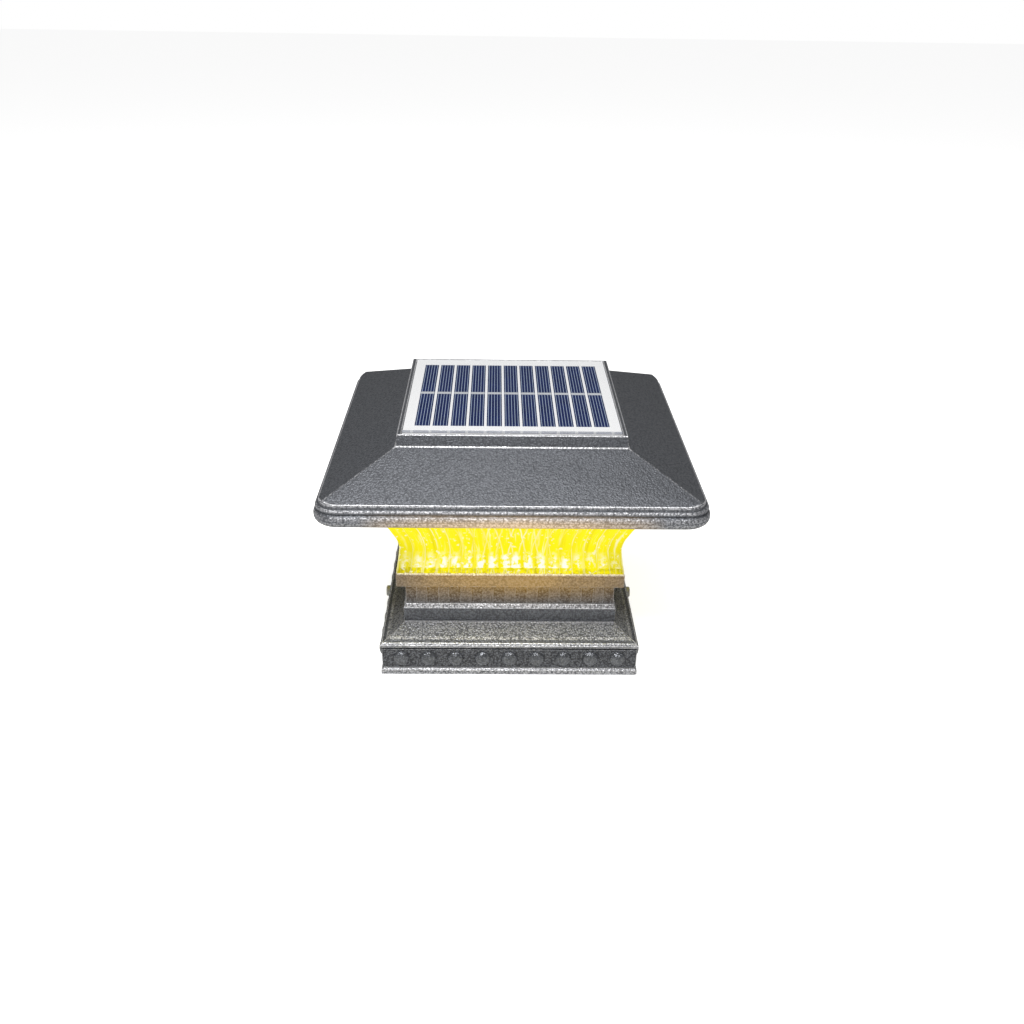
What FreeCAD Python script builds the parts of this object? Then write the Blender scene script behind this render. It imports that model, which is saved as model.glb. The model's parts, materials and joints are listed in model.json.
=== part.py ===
import FreeCAD, Part
import math
import os

# Deck post cap light: a square solar lamp that slips over the end of a deck post.
# Millimetres. +Z is up, the front faces -Y, and the origin is the middle of the base's lower rim.
# Heights are counted from that rim. A "half" is half of a square's width, across its flats.

V = FreeCAD.Vector

# ---- driving dimensions -------------------------------------------------------------------
CROWN_HALF = 76.0            # the crown is a 6.0 in square
BASE_HALF = 55.0             # lip at the bottom of the base
SOCKET_HALF = 51.5           # room for a 101.6 mm post, with 0.7 mm at each side
SEAT_Z = 14.6                # the post's end stops here
BAND_HALF = 54.4             # recessed band that carries the studs
LIP_TOP = 3.2
LEDGE_Z = 13.9               # underside of the ledge over the studs
LEDGE_TOP = 15.7
SLOPE_FOOT_HALF = 52.0
SLOPE_FOOT_Z = 17.1
STEP_HALF = 45.3
STEP_Z = 21.0
STEP_TOP = 28.3
DENTIL_FACE_HALF = 44.2      # recessed face between the dentil teeth
DENTIL_Z = 29.5
TOOTH_Z = 30.3
COLLAR_HALF = 47.8
COLLAR_Z = 39.8
DECK_Z = 46.6                # top of the base, where the lens stands
DECK_THICK = 3.0
BAY_HALF = 42.0              # inside of the base over the post's end
CROWN_Z = 82.1               # underside of the crown's rim
SLOPE_Z = 91.2               # foot of the roof's slopes
SLOPE_HALF = 73.8
BLOCK_HALF = 46.0            # raised block that frames the panel
BLOCK_Z = 103.1
BLOCK_TOP = 108.05
ROOF_CORE = 66.0             # centres of the crown's corner rounds lie this far out
WALL = 2.4

STUDS_PER_SIDE = 9
STUD_PITCH = 11.55
STUD_R = 3.5
STUD_RISE = 2.0
STUD_Z = 8.5
TEETH_PER_SIDE = 9
TOOTH_PITCH = 9.36
TOOTH_WIDTH = 4.68
TOOTH_RISE = 0.5

PANEL_HALF_X = 43.3
PANEL_HALF_Y = 44.1
CELL_COUNT = 11
CELL_PITCH = 7.18
CELL_WIDTH = 6.1
CELL_HALF_Y = 36.1
CELL_THICK = 0.25
RIBBON_HALF = 1.1
RIBBON_THICK = 0.12

BATTERY_R = 7.25             # AA size
BATTERY_HALF = 25.25
LEAD_R = 0.8
PLASTIC_WALL = 2.0
SCREW_SLOT_HALF = 0.35
SMALL_HEAD_R = 1.9           # pan heads of the screws that hold the boards
SMALL_HEAD_HIGH = 1.2
CASE_SCREW_R = 1.25          # screws that close the casings
HEAD_R = 2.8                 # heads of the larger screws
PILOT_R = 1.3                # hole that a small screw cuts its thread in
BOSS_R = 4.0                 # round a pilot hole in a casting

# ---- heights and places worked out from them ----------------------------------------------
DECK_UNDER = DECK_Z - DECK_THICK
LENS_WALL = 2.2
LENS_FOOT_HALF = COLLAR_HALF - 0.1
LENS_INNER_FOOT = LENS_FOOT_HALF - LENS_WALL
GROOVE_OUT = COLLAR_HALF - 1.2
GROOVE_IN = GROOVE_OUT - 1.4
GROOVE_Z = DECK_Z - 1.7
TRAY_UNDER = CROWN_Z + 0.9   # underside of the plate that closes the crown
TRAY_THICK = 2.4
TRAY_TOP = TRAY_UNDER + TRAY_THICK
TRAY_HALF = ROOF_CORE + 5.6
LENS_TOP = TRAY_UNDER + 0.2
LENS_TOP_HALF = 58.0
GASKET_OUT = LENS_TOP_HALF + 0.4
GASKET_IN = LENS_TOP_HALF - LENS_WALL - 0.4
GASKET_TOP = LENS_TOP + 0.6
CROWN_SCREW_AT = 61.0
TIE_AT = 11.0                # tie screws stand at the corners of this square
TIE_R = 1.5
TIE_POST_TOP = TRAY_TOP + 3.2
NUT_R = 3.2
NUT_HIGH = 2.4
WIRE_HOLE_R = 5.0            # leads pass through the plates in the middle
CLEARANCE = 0.2              # round a screw that only passes through
CROWN_BOSS_TOP = 94.4        # inside the roof, below the slope
LIGHT_DECK_HALF = LENS_INNER_FOOT - 2.0
LIGHT_DECK_TOP = DECK_Z + 1.8
COLUMN_HALF = 16.0
LED_BOARD_OUT = LIGHT_DECK_HALF - 0.8
LED_BOARD_IN = LED_BOARD_OUT - 8.0
LED_BOARD_TOP = LIGHT_DECK_TOP + 1.2
LEDS_PER_SIDE = 5
LED_PITCH = 15.4
LED_LEAD_X = LED_PITCH / 2   # the light board's leads leave between two lights
LED_HOLE_Y = LED_BOARD_IN - 4
LED_HOLE_R = 3.0
LED_SCREW_R = 1.0
LED_CASE_HALF = 2.5
LED_CASE_HIGH = 1.0
LED_DOME_R = 2.1
DECK_HOLE_R = 6.0            # the panel's leads pass through the deck here

PLATE_Z = SEAT_Z + 0.6       # underside of the electronics tray
PLATE_TOP = PLATE_Z + 2.4
SEAL_TOP = PLATE_TOP + 0.8
PLATE_HALF = BAY_HALF - 0.3
TRAY_SCREW_AT = 36.15
BAY_X = -3.0                 # middle of the battery bay
BAY_Y = -19.0
POCKET_X = 29.0
POCKET_Y = 8.0
DOOR_X = POCKET_X + 2.1
DOOR_Y = POCKET_Y + 2.1
DOOR_TOP = PLATE_Z + 1.6
DOOR_GAP = 0.3
HINGE_X = BAY_X - DOOR_X - 1.4
HINGE_Z = PLATE_Z + 0.6
LUG_AT = 5.5                 # door lugs stand this far each side of the bay's middle
DOOR_SCREW_X = BAY_X + DOOR_X + 4.0
EAR_X = BAY_X + DOOR_X + 3.5 # ear of the door, for its screw
EAR_HALF_X = 4.0
EAR_HALF_Y = 4.5
LUG_HALF = 1.5
PIVOT_Z = HINGE_Z + 0.3
BATTERY_Z = PLATE_TOP + 0.4 + BATTERY_R
POCKET_TOP = BATTERY_Z + BATTERY_R + 0.5
BOARD_X = -9.0
BOARD_Y = 21.0
BOARD_HALF_X = 21.0
BOARD_HALF_Y = 12.0
BOARD_Z = 26.0
BOARD_TOP = BOARD_Z + 1.6
SWITCH_X = 26.0
SWITCH_Y = 16.0
SWITCH_TRAVEL = 4.0
SWITCH_HALF_X = 7.2
SWITCH_HALF_Y = 3.7
SLIDER_HALF_X = 2.6
SLIDER_HALF_Y = 1.9
TAB_X = POCKET_X - 4.0       # where a battery lead leaves, from the middle of the bay
TAB_THICK = 0.4

RECESS_GAP = 0.25            # round the panel, in the block
RECESS_Z = BLOCK_TOP - 2.05
PAD_TOP = RECESS_Z + 0.5
BACKSHEET_Z = BLOCK_TOP - 0.05
CELL_TOP = BACKSHEET_Z + CELL_THICK
RIBBON_TOP = CELL_TOP + RIBBON_THICK
COVER_TOP = BACKSHEET_Z + 1.5

CLAMP_R = 2.5
CLAMP_OUT = 57.6             # outer end of a clamp screw, backed off
CLAMP_BOSS_R = 4.4
CLAMP_BOSS_OUT = BAND_HALF + 0.5
CLAMP_KEY_R = 1.45           # hexagon socket in its outer end
CLAMP_KEY_DEPTH = 3.0


# ---- shapes that repeat -------------------------------------------------------------------
def fuse(shapes):
    return shapes[0].multiFuse(shapes[1:]).removeSplitter()


def slab(x0, x1, y0, y1, z0, z1):
    return Part.makeBox(x1 - x0, y1 - y0, z1 - z0, V(x0, y0, z0))


def square_slab(half, z0, z1):
    return slab(-half, half, -half, half, z0, z1)


def centred_slab(x, y, half_x, half_y, z0, z1):
    return slab(x - half_x, x + half_x, y - half_y, y + half_y, z0, z1)


def square_ring(outer, inner, z0, z1):
    return square_slab(outer, z0, z1).cut(square_slab(inner, z0, z1))


def rod(x, y, z0, z1, radius):
    return Part.makeCylinder(radius, z1 - z0, V(x, y, z0))


def rounded_slab(half_x, half_y, z0, z1, radius):
    block = slab(-half_x, half_x, -half_y, half_y, z0, z1)
    return block.makeFillet(radius, [e for e in block.Edges if is_upright(e)])


def is_upright(edge):
    first = edge.Vertexes[0].Point
    last = edge.Vertexes[-1].Point
    return abs(first.z - last.z) > 0.01 and first.sub(V(last.x, last.y, first.z)).Length < 0.01


def corners(distance):
    return [(sx * distance, sy * distance) for sx in (-1, 1) for sy in (-1, 1)]


def hexagon(radius):
    angles = [math.radians(60 * corner) for corner in range(7)]
    return [(radius * math.cos(angle), radius * math.sin(angle)) for angle in angles]


def turned(shape, degrees):
    copy = shape.copy()
    copy.rotate(V(0, 0, 0), V(0, 0, 1), degrees)
    return copy


def on_four_sides(shape):
    return [turned(shape, quarter * 90) for quarter in range(4)]


def path_edges(points):
    """Edges through (half, z) points. A (middle, end) pair of points makes an arc."""
    edges = []
    here = points[0]
    for step in points[1:]:
        if isinstance(step[0], tuple):
            middle, end = step
            arc = Part.Arc(V(here[0], 0, here[1]), V(middle[0], 0, middle[1]), V(end[0], 0, end[1]))
            edges.append(arc.toShape())
        else:
            end = step
            edges.append(Part.makeLine(V(here[0], 0, here[1]), V(end[0], 0, end[1])))
        here = end
    return edges, here


def mitred(points):
    """A square-plan solid whose side has this (half, z) outline from bottom to top."""
    edges, last = path_edges(points)
    first = points[0]
    mirrored = [edge.mirror(V(0, 0, 0), V(1, 0, 0)) for edge in edges]
    bottom = Part.makeLine(V(-first[0], 0, first[1]), V(first[0], 0, first[1]))
    top = Part.makeLine(V(-last[0], 0, last[1]), V(last[0], 0, last[1]))
    wire = Part.Wire(Part.__sortEdges__(edges + mirrored + [bottom, top]))
    reach = CROWN_HALF + 10
    through = Part.Face(wire).extrude(V(0, 2 * reach, 0))
    through.translate(V(0, -reach, 0))
    return through.common(turned(through, 90)).removeSplitter()


def moulded(points, core):
    """A square-plan solid with rounded corners, centred 'core' out, and this (half, z) outline."""
    edges, last = path_edges(points)
    first = points[0]
    inner_low = V(core, 0, first[1])
    inner_high = V(core, 0, last[1])
    edges.append(Part.makeLine(V(first[0], 0, first[1]), inner_low))
    edges.append(Part.makeLine(inner_low, inner_high))
    edges.append(Part.makeLine(inner_high, V(last[0], 0, last[1])))
    section = Part.Face(Part.Wire(Part.__sortEdges__(edges)))
    section.translate(V(0, -core, 0))
    side = section.extrude(V(0, 2 * core, 0))
    corner = section.revolve(V(core, -core, 0), V(0, 0, 1), -90)
    pieces = [square_slab(core, first[1], last[1])]
    pieces += on_four_sides(side)
    pieces += on_four_sides(corner)
    return fuse(pieces)


def pan_screw(x, y, head_z, tip_z, shank_r, head_r, head_h):
    """A pan-head screw on a Z axis. The head is on the side away from the tip."""
    way = 1 if tip_z > head_z else -1
    shank = rod(x, y, min(head_z, tip_z), max(head_z, tip_z), shank_r)
    outer_z = head_z - way * head_h
    head = rod(x, y, min(head_z, outer_z), max(head_z, outer_z), head_r)
    head = head.makeFillet(head_h * 0.45, rims_at(head, outer_z))
    slot_depth = head_h * 0.35
    slot = centred_slab(x, y, head_r, SCREW_SLOT_HALF, outer_z - slot_depth, outer_z + slot_depth)
    return fuse([shank, head]).cut(slot)


def rims_at(shape, z):
    """Level edges of a shape at this height."""
    return [e for e in shape.Edges if abs(e.BoundBox.ZMin - z) < 0.01 and abs(e.BoundBox.ZMax - z) < 0.01]


def flat_screw(x, y, z, tip_z, shank_r, head_r, head_h):
    """A countersunk screw that goes up from a flush head at height z."""
    cone = Part.makeCone(head_r, shank_r, head_h, V(x, y, z))
    screw = fuse([cone, rod(x, y, z + head_h, tip_z, shank_r)])
    return screw.cut(centred_slab(x, y, head_r, SCREW_SLOT_HALF, z, z + head_h / 2))


def lead(points, radius):
    """A round lead along straight runs, joined by tangent arcs as large as the runs allow."""
    spots = [V(*p) for p in points]
    edges = []
    here = spots[0]
    for before, corner, after in zip(spots, spots[1:], spots[2:]):
        run_in = corner.sub(before)
        run_out = after.sub(corner)
        half_turn = run_in.getAngle(run_out) / 2
        reach = 0.45 * min(run_in.Length, run_out.Length)      # a run is shared by two arcs
        start = corner.sub(V(run_in).normalize().multiply(reach))
        end = corner.add(V(run_out).normalize().multiply(reach))
        arc_r = reach / math.tan(half_turn)
        to_middle = start.add(end).multiply(0.5).sub(corner)
        depth = arc_r / math.cos(half_turn) - arc_r
        middle = corner.add(to_middle.normalize().multiply(depth))
        edges.append(Part.LineSegment(here, start).toShape())
        edges.append(Part.Arc(start, middle, end).toShape())
        here = end
    edges.append(Part.LineSegment(here, spots[-1]).toShape())
    path = Part.Wire(edges)
    direction = spots[1].sub(spots[0])
    section = Part.Wire(Part.makeCircle(radius, spots[0], direction))
    tube = path.makePipeShell([section], True, False)
    section_area = math.pi * radius ** 2
    print("lead", round(path.Length, 1), "mm, volume check", round(tube.Volume / section_area / path.Length, 4))
    return tube


# ---- base ---------------------------------------------------------------------------------
def stud(along):
    """One domed stud, with a flat back that is bonded to the front band."""
    sphere_r = (STUD_R ** 2 + STUD_RISE ** 2) / (2 * STUD_RISE)
    ball = Part.makeSphere(sphere_r, V(along, -BAND_HALF - STUD_RISE + sphere_r, STUD_Z))
    reach = STUD_R + 1
    in_front = -BAND_HALF - STUD_RISE - 1
    return ball.common(slab(along - reach, along + reach, in_front, -BAND_HALF, STUD_Z - reach, STUD_Z + reach))


def stud_row(skip_middle):
    middle = (STUDS_PER_SIDE - 1) / 2
    places = [(n - middle) * STUD_PITCH for n in range(STUDS_PER_SIDE)]
    return [stud(p) for p in places if not (skip_middle and abs(p) < 0.01)]


def dome_studs():
    """Studs on all four sides. A clamp screw takes the middle place on the left and the right."""
    rows = [turned(s, quarter) for quarter in (0, 180) for s in stud_row(False)]
    rows += [turned(s, quarter) for quarter in (90, 270) for s in stud_row(True)]
    return rows


def tooth_row():
    """Dentil teeth between the step and the collar, on the front face."""
    middle = (TEETH_PER_SIDE - 1) / 2
    half = TOOTH_WIDTH / 2
    front = -DENTIL_FACE_HALF - TOOTH_RISE
    root = -DENTIL_FACE_HALF + 0.4
    places = [(n - middle) * TOOTH_PITCH for n in range(TEETH_PER_SIDE)]
    return [slab(x - half, x + half, front, root, TOOTH_Z, COLLAR_Z) for x in places]


def base_outside():
    return mitred([
        (BASE_HALF - 0.6, 0.0),
        ((BASE_HALF - 0.18, 0.18), (BASE_HALF, 0.6)),
        (BASE_HALF, LIP_TOP - 0.6),
        ((BASE_HALF - 0.18, LIP_TOP - 0.18), (BASE_HALF - 0.6, LIP_TOP)),
        (BAND_HALF, LIP_TOP + 0.2),
        (BAND_HALF, LEDGE_Z - 0.3),
        (BASE_HALF - 0.4, LEDGE_Z),
        (BASE_HALF, LEDGE_Z + 0.4),
        (BASE_HALF, LEDGE_TOP - 0.6),
        ((BASE_HALF - 0.25, LEDGE_TOP), (BASE_HALF - 0.8, LEDGE_TOP + 0.3)),
        (SLOPE_FOOT_HALF, SLOPE_FOOT_Z),
        (STEP_HALF, STEP_Z - 0.1),
        (STEP_HALF - 0.5, STEP_Z - 0.1),
        (STEP_HALF - 0.5, STEP_Z + 0.3),
        (STEP_HALF, STEP_Z + 0.5),
        (STEP_HALF, STEP_TOP - 0.3),
        ((STEP_HALF - 0.15, STEP_TOP + 0.35), (STEP_HALF - 0.8, STEP_TOP + 0.9)),
        (DENTIL_FACE_HALF, DENTIL_Z),
        (DENTIL_FACE_HALF, COLLAR_Z),
        (COLLAR_HALF - 0.4, COLLAR_Z),
        (COLLAR_HALF, COLLAR_Z + 0.4),
        (COLLAR_HALF, DECK_Z - 0.8),
        ((COLLAR_HALF - 0.23, DECK_Z - 0.23), (COLLAR_HALF - 0.8, DECK_Z)),
    ])


def base_housing():
    """Cast base: post socket below, electronics bay in the middle, deck under the lens on top."""
    body = base_outside()
    body = body.cut(square_slab(SOCKET_HALF, -1, SEAT_Z))
    body = body.cut(square_slab(BAY_HALF, SEAT_Z - 1, DECK_UNDER))
    inside = [square_ring(BAY_HALF + 0.2, BAY_HALF - PLASTIC_WALL, SEAL_TOP, SEAL_TOP + 2.0)]
    inside += [rod(x, y, PLATE_TOP, DECK_UNDER + 0.5, BOSS_R) for x, y in corners(TRAY_SCREW_AT)]
    trim = on_four_sides(Part.makeCompound(tooth_row()))
    boss_in = SOCKET_HALF + 1.2
    boss_long = CLAMP_BOSS_OUT - boss_in
    bosses = [Part.makeCylinder(CLAMP_BOSS_R, boss_long, V(side * boss_in, 0, STUD_Z), V(side, 0, 0))
              for side in (-1, 1)]
    body = body.multiFuse(inside + trim + bosses)
    groove = square_ring(GROOVE_OUT, GROOVE_IN, GROOVE_Z, DECK_Z + 1)
    holes = [rod(x, y, PLATE_TOP - 1, PLATE_TOP + 9, PILOT_R) for x, y in corners(TRAY_SCREW_AT)]
    holes += [rod(x, y, DECK_UNDER - 1, DECK_Z + 1, TIE_R + CLEARANCE) for x, y in corners(TIE_AT)]
    holes += [rod(0, 0, DECK_UNDER - 1, DECK_Z + 1, DECK_HOLE_R)]
    holes += [rod(LED_LEAD_X, LED_HOLE_Y, DECK_UNDER - 1, DECK_Z + 1, LED_HOLE_R)]
    holes += [rod(x, y, DECK_Z - 2.0, DECK_Z + 1, LED_SCREW_R + 0.05) for x, y in corners(led_screw_at())]
    holes += [Part.makeCylinder(CLAMP_R + 0.1, 2 * CLAMP_OUT, V(-CLAMP_OUT, 0, STUD_Z), V(1, 0, 0))]
    return body.cut(Part.makeCompound([groove] + holes))


def clamp_screw(side):
    """Headless screw in the side wall. Turned in, its end bears on the post."""
    out = side * CLAMP_OUT
    length = CLAMP_OUT - SOCKET_HALF - 0.1
    body = Part.makeCylinder(CLAMP_R, length, V(out, 0, STUD_Z), V(-side, 0, 0))
    rims = [e for e in body.Edges if e.BoundBox.XLength < 0.01]
    body = body.makeChamfer(0.4, rims)
    key = [V(out, across, STUD_Z + up) for across, up in hexagon(CLAMP_KEY_R)]
    key_hole = Part.Face(Part.makePolygon(key)).extrude(V(-side * CLAMP_KEY_DEPTH, 0, 0))
    return body.cut(key_hole)


# ---- lamp: deck, lights, reflector, lens ---------------------------------------------------
def led_screw_at():
    return (LED_BOARD_OUT + LED_BOARD_IN) / 2


def light_deck():
    plate = square_slab(LIGHT_DECK_HALF, DECK_Z, LIGHT_DECK_TOP)
    holes = [rod(x, y, DECK_Z, LIGHT_DECK_TOP, TIE_R + CLEARANCE) for x, y in corners(TIE_AT)]
    holes += [rod(0, 0, DECK_Z, LIGHT_DECK_TOP, DECK_HOLE_R + 1)]
    holes += [rod(LED_LEAD_X, LED_HOLE_Y, DECK_Z, LIGHT_DECK_TOP, LED_HOLE_R)]
    holes += [rod(x, y, DECK_Z, LIGHT_DECK_TOP, LED_SCREW_R + 0.3) for x, y in corners(led_screw_at())]
    return plate.cut(Part.makeCompound(holes))


def led_board():
    """Square ring of circuit board that carries the lights round the foot of the lens."""
    ring = square_ring(LED_BOARD_OUT, LED_BOARD_IN, LIGHT_DECK_TOP, LED_BOARD_TOP)
    holes = [rod(x, y, LIGHT_DECK_TOP, LED_BOARD_TOP, LED_SCREW_R + 0.3) for x, y in corners(led_screw_at())]
    return ring.cut(Part.makeCompound(holes))


def front_lights():
    """Surface-mounted lights along the front of the board: a square case and a round dome each."""
    middle = (LEDS_PER_SIDE - 1) / 2
    y = -(LED_BOARD_OUT + LED_BOARD_IN) / 2
    case_top = LED_BOARD_TOP + LED_CASE_HIGH
    lights = []
    for n in range(LEDS_PER_SIDE):
        x = (n - middle) * LED_PITCH
        case = centred_slab(x, y, LED_CASE_HALF, LED_CASE_HALF, LED_BOARD_TOP, case_top)
        ball = Part.makeSphere(LED_DOME_R, V(x, y, case_top))
        upper = centred_slab(x, y, LED_DOME_R + 1, LED_DOME_R + 1, case_top - 0.2, case_top + LED_DOME_R + 1)
        lights.append(fuse([case, ball.common(upper)]))
    return lights


def led_board_screws():
    tip = DECK_Z - 1.6
    return [pan_screw(x, y, LED_BOARD_TOP, tip, LED_SCREW_R, SMALL_HEAD_R, SMALL_HEAD_HIGH)
            for x, y in corners(led_screw_at())]


def reflector_column():
    """White square tube in the middle of the lens. It throws light outwards and hides the ties."""
    outside = mitred([
        (COLUMN_HALF + 5, LIGHT_DECK_TOP),
        (COLUMN_HALF + 5, LIGHT_DECK_TOP + 0.8),
        ((COLUMN_HALF + 1.3, LIGHT_DECK_TOP + 2.2), (COLUMN_HALF, LIGHT_DECK_TOP + 6.0)),
        (COLUMN_HALF, TRAY_UNDER),
    ])
    return outside.cut(square_slab(COLUMN_HALF - 1.6, LIGHT_DECK_TOP - 1, TRAY_UNDER + 1))


def lens_outline(inset):
    return [
        (LENS_FOOT_HALF - inset, DECK_Z),
        ((46.75 - inset, 52.0), (46.2 - inset, 56.8)),
        ((46.8 - inset, 60.6), (48.2 - inset, 64.4)),
        ((52.4 - inset, 73.2), (LENS_TOP_HALF - inset, LENS_TOP)),
    ]


def lens():
    """Moulded square lens: narrow at the waist, flared up to the crown, with a tongue below."""
    outside = mitred(lens_outline(0.0))
    inside = mitred(lens_outline(LENS_WALL))
    tongue = square_ring(GROOVE_OUT - 0.2, LENS_INNER_FOOT, GROOVE_Z + 0.5, DECK_Z + 0.2)
    return fuse([outside.cut(inside), tongue])


def lens_bottom_gasket():
    return square_ring(GROOVE_OUT, GROOVE_IN, GROOVE_Z, GROOVE_Z + 0.5)


def lens_top_gasket():
    return square_ring(GASKET_OUT, GASKET_IN, LENS_TOP, GASKET_TOP)


# ---- crown --------------------------------------------------------------------------------
def crown_outside():
    """Rim with a large and a small bead, then a hipped roof, then the upright block."""
    rim = moulded([
        (CROWN_HALF - 2.6, CROWN_Z),
        ((CROWN_HALF - 0.35, CROWN_Z + 1.3), (CROWN_HALF, CROWN_Z + 3.0)),
        ((CROWN_HALF - 0.3, CROWN_Z + 4.5), (CROWN_HALF - 1.3, CROWN_Z + 5.4)),
        ((CROWN_HALF - 0.75, CROWN_Z + 6.4), (CROWN_HALF - 1.5, CROWN_Z + 7.4)),
        (SLOPE_HALF - 0.5, SLOPE_Z - 1.4),
        (SLOPE_HALF - 0.5, SLOPE_Z - 0.9),
        (SLOPE_HALF, SLOPE_Z - 0.5),
        (SLOPE_HALF, SLOPE_Z),
    ], ROOF_CORE)
    roof = mitred([
        (SLOPE_HALF + 0.4, SLOPE_Z - 0.2),
        (BLOCK_HALF, BLOCK_Z),
        (BLOCK_HALF - 0.4, BLOCK_TOP - 0.4),
        (BLOCK_HALF - 0.8, BLOCK_TOP),
    ])
    limit = rounded_slab(SLOPE_HALF, SLOPE_HALF, SLOPE_Z - 1, BLOCK_TOP + 1, SLOPE_HALF - ROOF_CORE)
    return fuse([rim, roof.common(limit)])


def crown_shell():
    """Cast roof, hollow below, with a shallow recess on top for the panel."""
    body = crown_outside()
    closing = rounded_slab(TRAY_HALF + 0.3, TRAY_HALF + 0.3, CROWN_Z - 1, TRAY_TOP, 5.6)
    hollow_half = TRAY_HALF - 2.2
    hollow = mitred([
        (hollow_half, TRAY_TOP - 0.5),
        (hollow_half, SLOPE_Z - 1.2),
        (BLOCK_HALF - 1.6, BLOCK_Z - WALL),
        (BLOCK_HALF - 2.6, RECESS_Z - WALL),
    ])
    recess = slab(-PANEL_HALF_X - RECESS_GAP, PANEL_HALF_X + RECESS_GAP,
                  -PANEL_HALF_Y - RECESS_GAP, PANEL_HALF_Y + RECESS_GAP, RECESS_Z, BLOCK_TOP + 1)
    wire_hole = rod(0, 0, BLOCK_Z - 5, RECESS_Z + 1, WIRE_HOLE_R)
    body = body.cut(Part.makeCompound([closing, recess, wire_hole])).cut(hollow)
    bosses = [rod(x, y, TRAY_TOP, CROWN_BOSS_TOP, BOSS_R) for x, y in corners(CROWN_SCREW_AT)]
    pilots = [rod(x, y, TRAY_TOP - 1, TRAY_TOP + 7, PILOT_R) for x, y in corners(CROWN_SCREW_AT)]
    return body.multiFuse(bosses).cut(Part.makeCompound(pilots))


def crown_tray():
    """Plate that closes the crown from below. The lens stands up into its groove."""
    plate = rounded_slab(TRAY_HALF, TRAY_HALF, TRAY_UNDER, TRAY_TOP, 5.4)
    posts = [rod(x, y, TRAY_TOP - 0.5, TIE_POST_TOP, BOSS_R) for x, y in corners(TIE_AT)]
    plate = plate.multiFuse(posts)
    cuts = [square_ring(GASKET_OUT, GASKET_IN, TRAY_UNDER - 1, GASKET_TOP)]
    cuts += [rod(0, 0, TRAY_UNDER - 1, TRAY_TOP + 1, WIRE_HOLE_R)]
    cuts += [rod(x, y, TRAY_UNDER - 1, TIE_POST_TOP + 1, TIE_R + CLEARANCE) for x, y in corners(TIE_AT)]
    cuts += [rod(x, y, TRAY_UNDER - 1, TRAY_TOP + 1, CASE_SCREW_R + 0.45) for x, y in corners(CROWN_SCREW_AT)]
    return plate.cut(Part.makeCompound(cuts))


def crown_screws():
    tip = TRAY_TOP + 6
    return [pan_screw(x, y, TRAY_UNDER, tip, CASE_SCREW_R, HEAD_R, 1.0) for x, y in corners(CROWN_SCREW_AT)]


def tie_screws():
    return [pan_screw(x, y, DECK_UNDER, TIE_POST_TOP + 3.8, TIE_R, HEAD_R, 2.0) for x, y in corners(TIE_AT)]


def tie_nuts():
    """Hexagon nuts on top of the crown's plate, one on each tie screw."""
    nuts = []
    for x, y in corners(TIE_AT):
        ring = [V(x + dx, y + dy, TIE_POST_TOP) for dx, dy in hexagon(NUT_R)]
        nut = Part.Face(Part.makePolygon(ring)).extrude(V(0, 0, NUT_HIGH))
        nuts.append(nut.cut(rod(x, y, TIE_POST_TOP - 1, TIE_POST_TOP + NUT_HIGH + 1, TIE_R)))
    return nuts


# ---- solar panel ---------------------------------------------------------------------------
def panel_pad():
    pad = slab(-PANEL_HALF_X + 1, PANEL_HALF_X - 1, -PANEL_HALF_Y + 1, PANEL_HALF_Y - 1, RECESS_Z, PAD_TOP)
    return pad.cut(rod(0, 0, RECESS_Z, PAD_TOP, WIRE_HOLE_R))


def panel_board():
    return slab(-PANEL_HALF_X, PANEL_HALF_X, -PANEL_HALF_Y, PANEL_HALF_Y, PAD_TOP, BACKSHEET_Z)


def cell_x(index):
    return (index - (CELL_COUNT - 1) / 2) * CELL_PITCH


def solar_cell(index):
    return centred_slab(cell_x(index), 0, CELL_WIDTH / 2, CELL_HALF_Y, BACKSHEET_Z, CELL_TOP)


def cell_ribbon():
    """Tinned strip soldered across the middle of every cell."""
    half_x = CELL_WIDTH / 2 - 0.15
    places = [cell_x(index) for index in range(CELL_COUNT)]
    return [centred_slab(x, 0, half_x, RIBBON_HALF, CELL_TOP, RIBBON_TOP) for x in places]


def panel_cover():
    """Clear cast layer over the cells, with softened upper edges."""
    block = slab(-PANEL_HALF_X, PANEL_HALF_X, -PANEL_HALF_Y, PANEL_HALF_Y, BACKSHEET_Z, COVER_TOP)
    block = block.makeFillet(0.5, rims_at(block, COVER_TOP))
    room_x = cell_x(CELL_COUNT - 1) + CELL_WIDTH / 2 + 0.1
    room_y = CELL_HALF_Y + 0.1
    return block.cut(slab(-room_x, room_x, -room_y, room_y, BACKSHEET_Z - 1, RIBBON_TOP + 0.05))


# ---- electronics tray, battery bay, switch ---------------------------------------------------
def door_recess(gap):
    plate = centred_slab(BAY_X, BAY_Y, DOOR_X + gap, DOOR_Y + gap, PLATE_Z, PLATE_TOP)
    ear = centred_slab(EAR_X, BAY_Y, EAR_HALF_X + gap, EAR_HALF_Y + gap, PLATE_Z, PLATE_TOP)
    return fuse([plate, ear])


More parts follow.
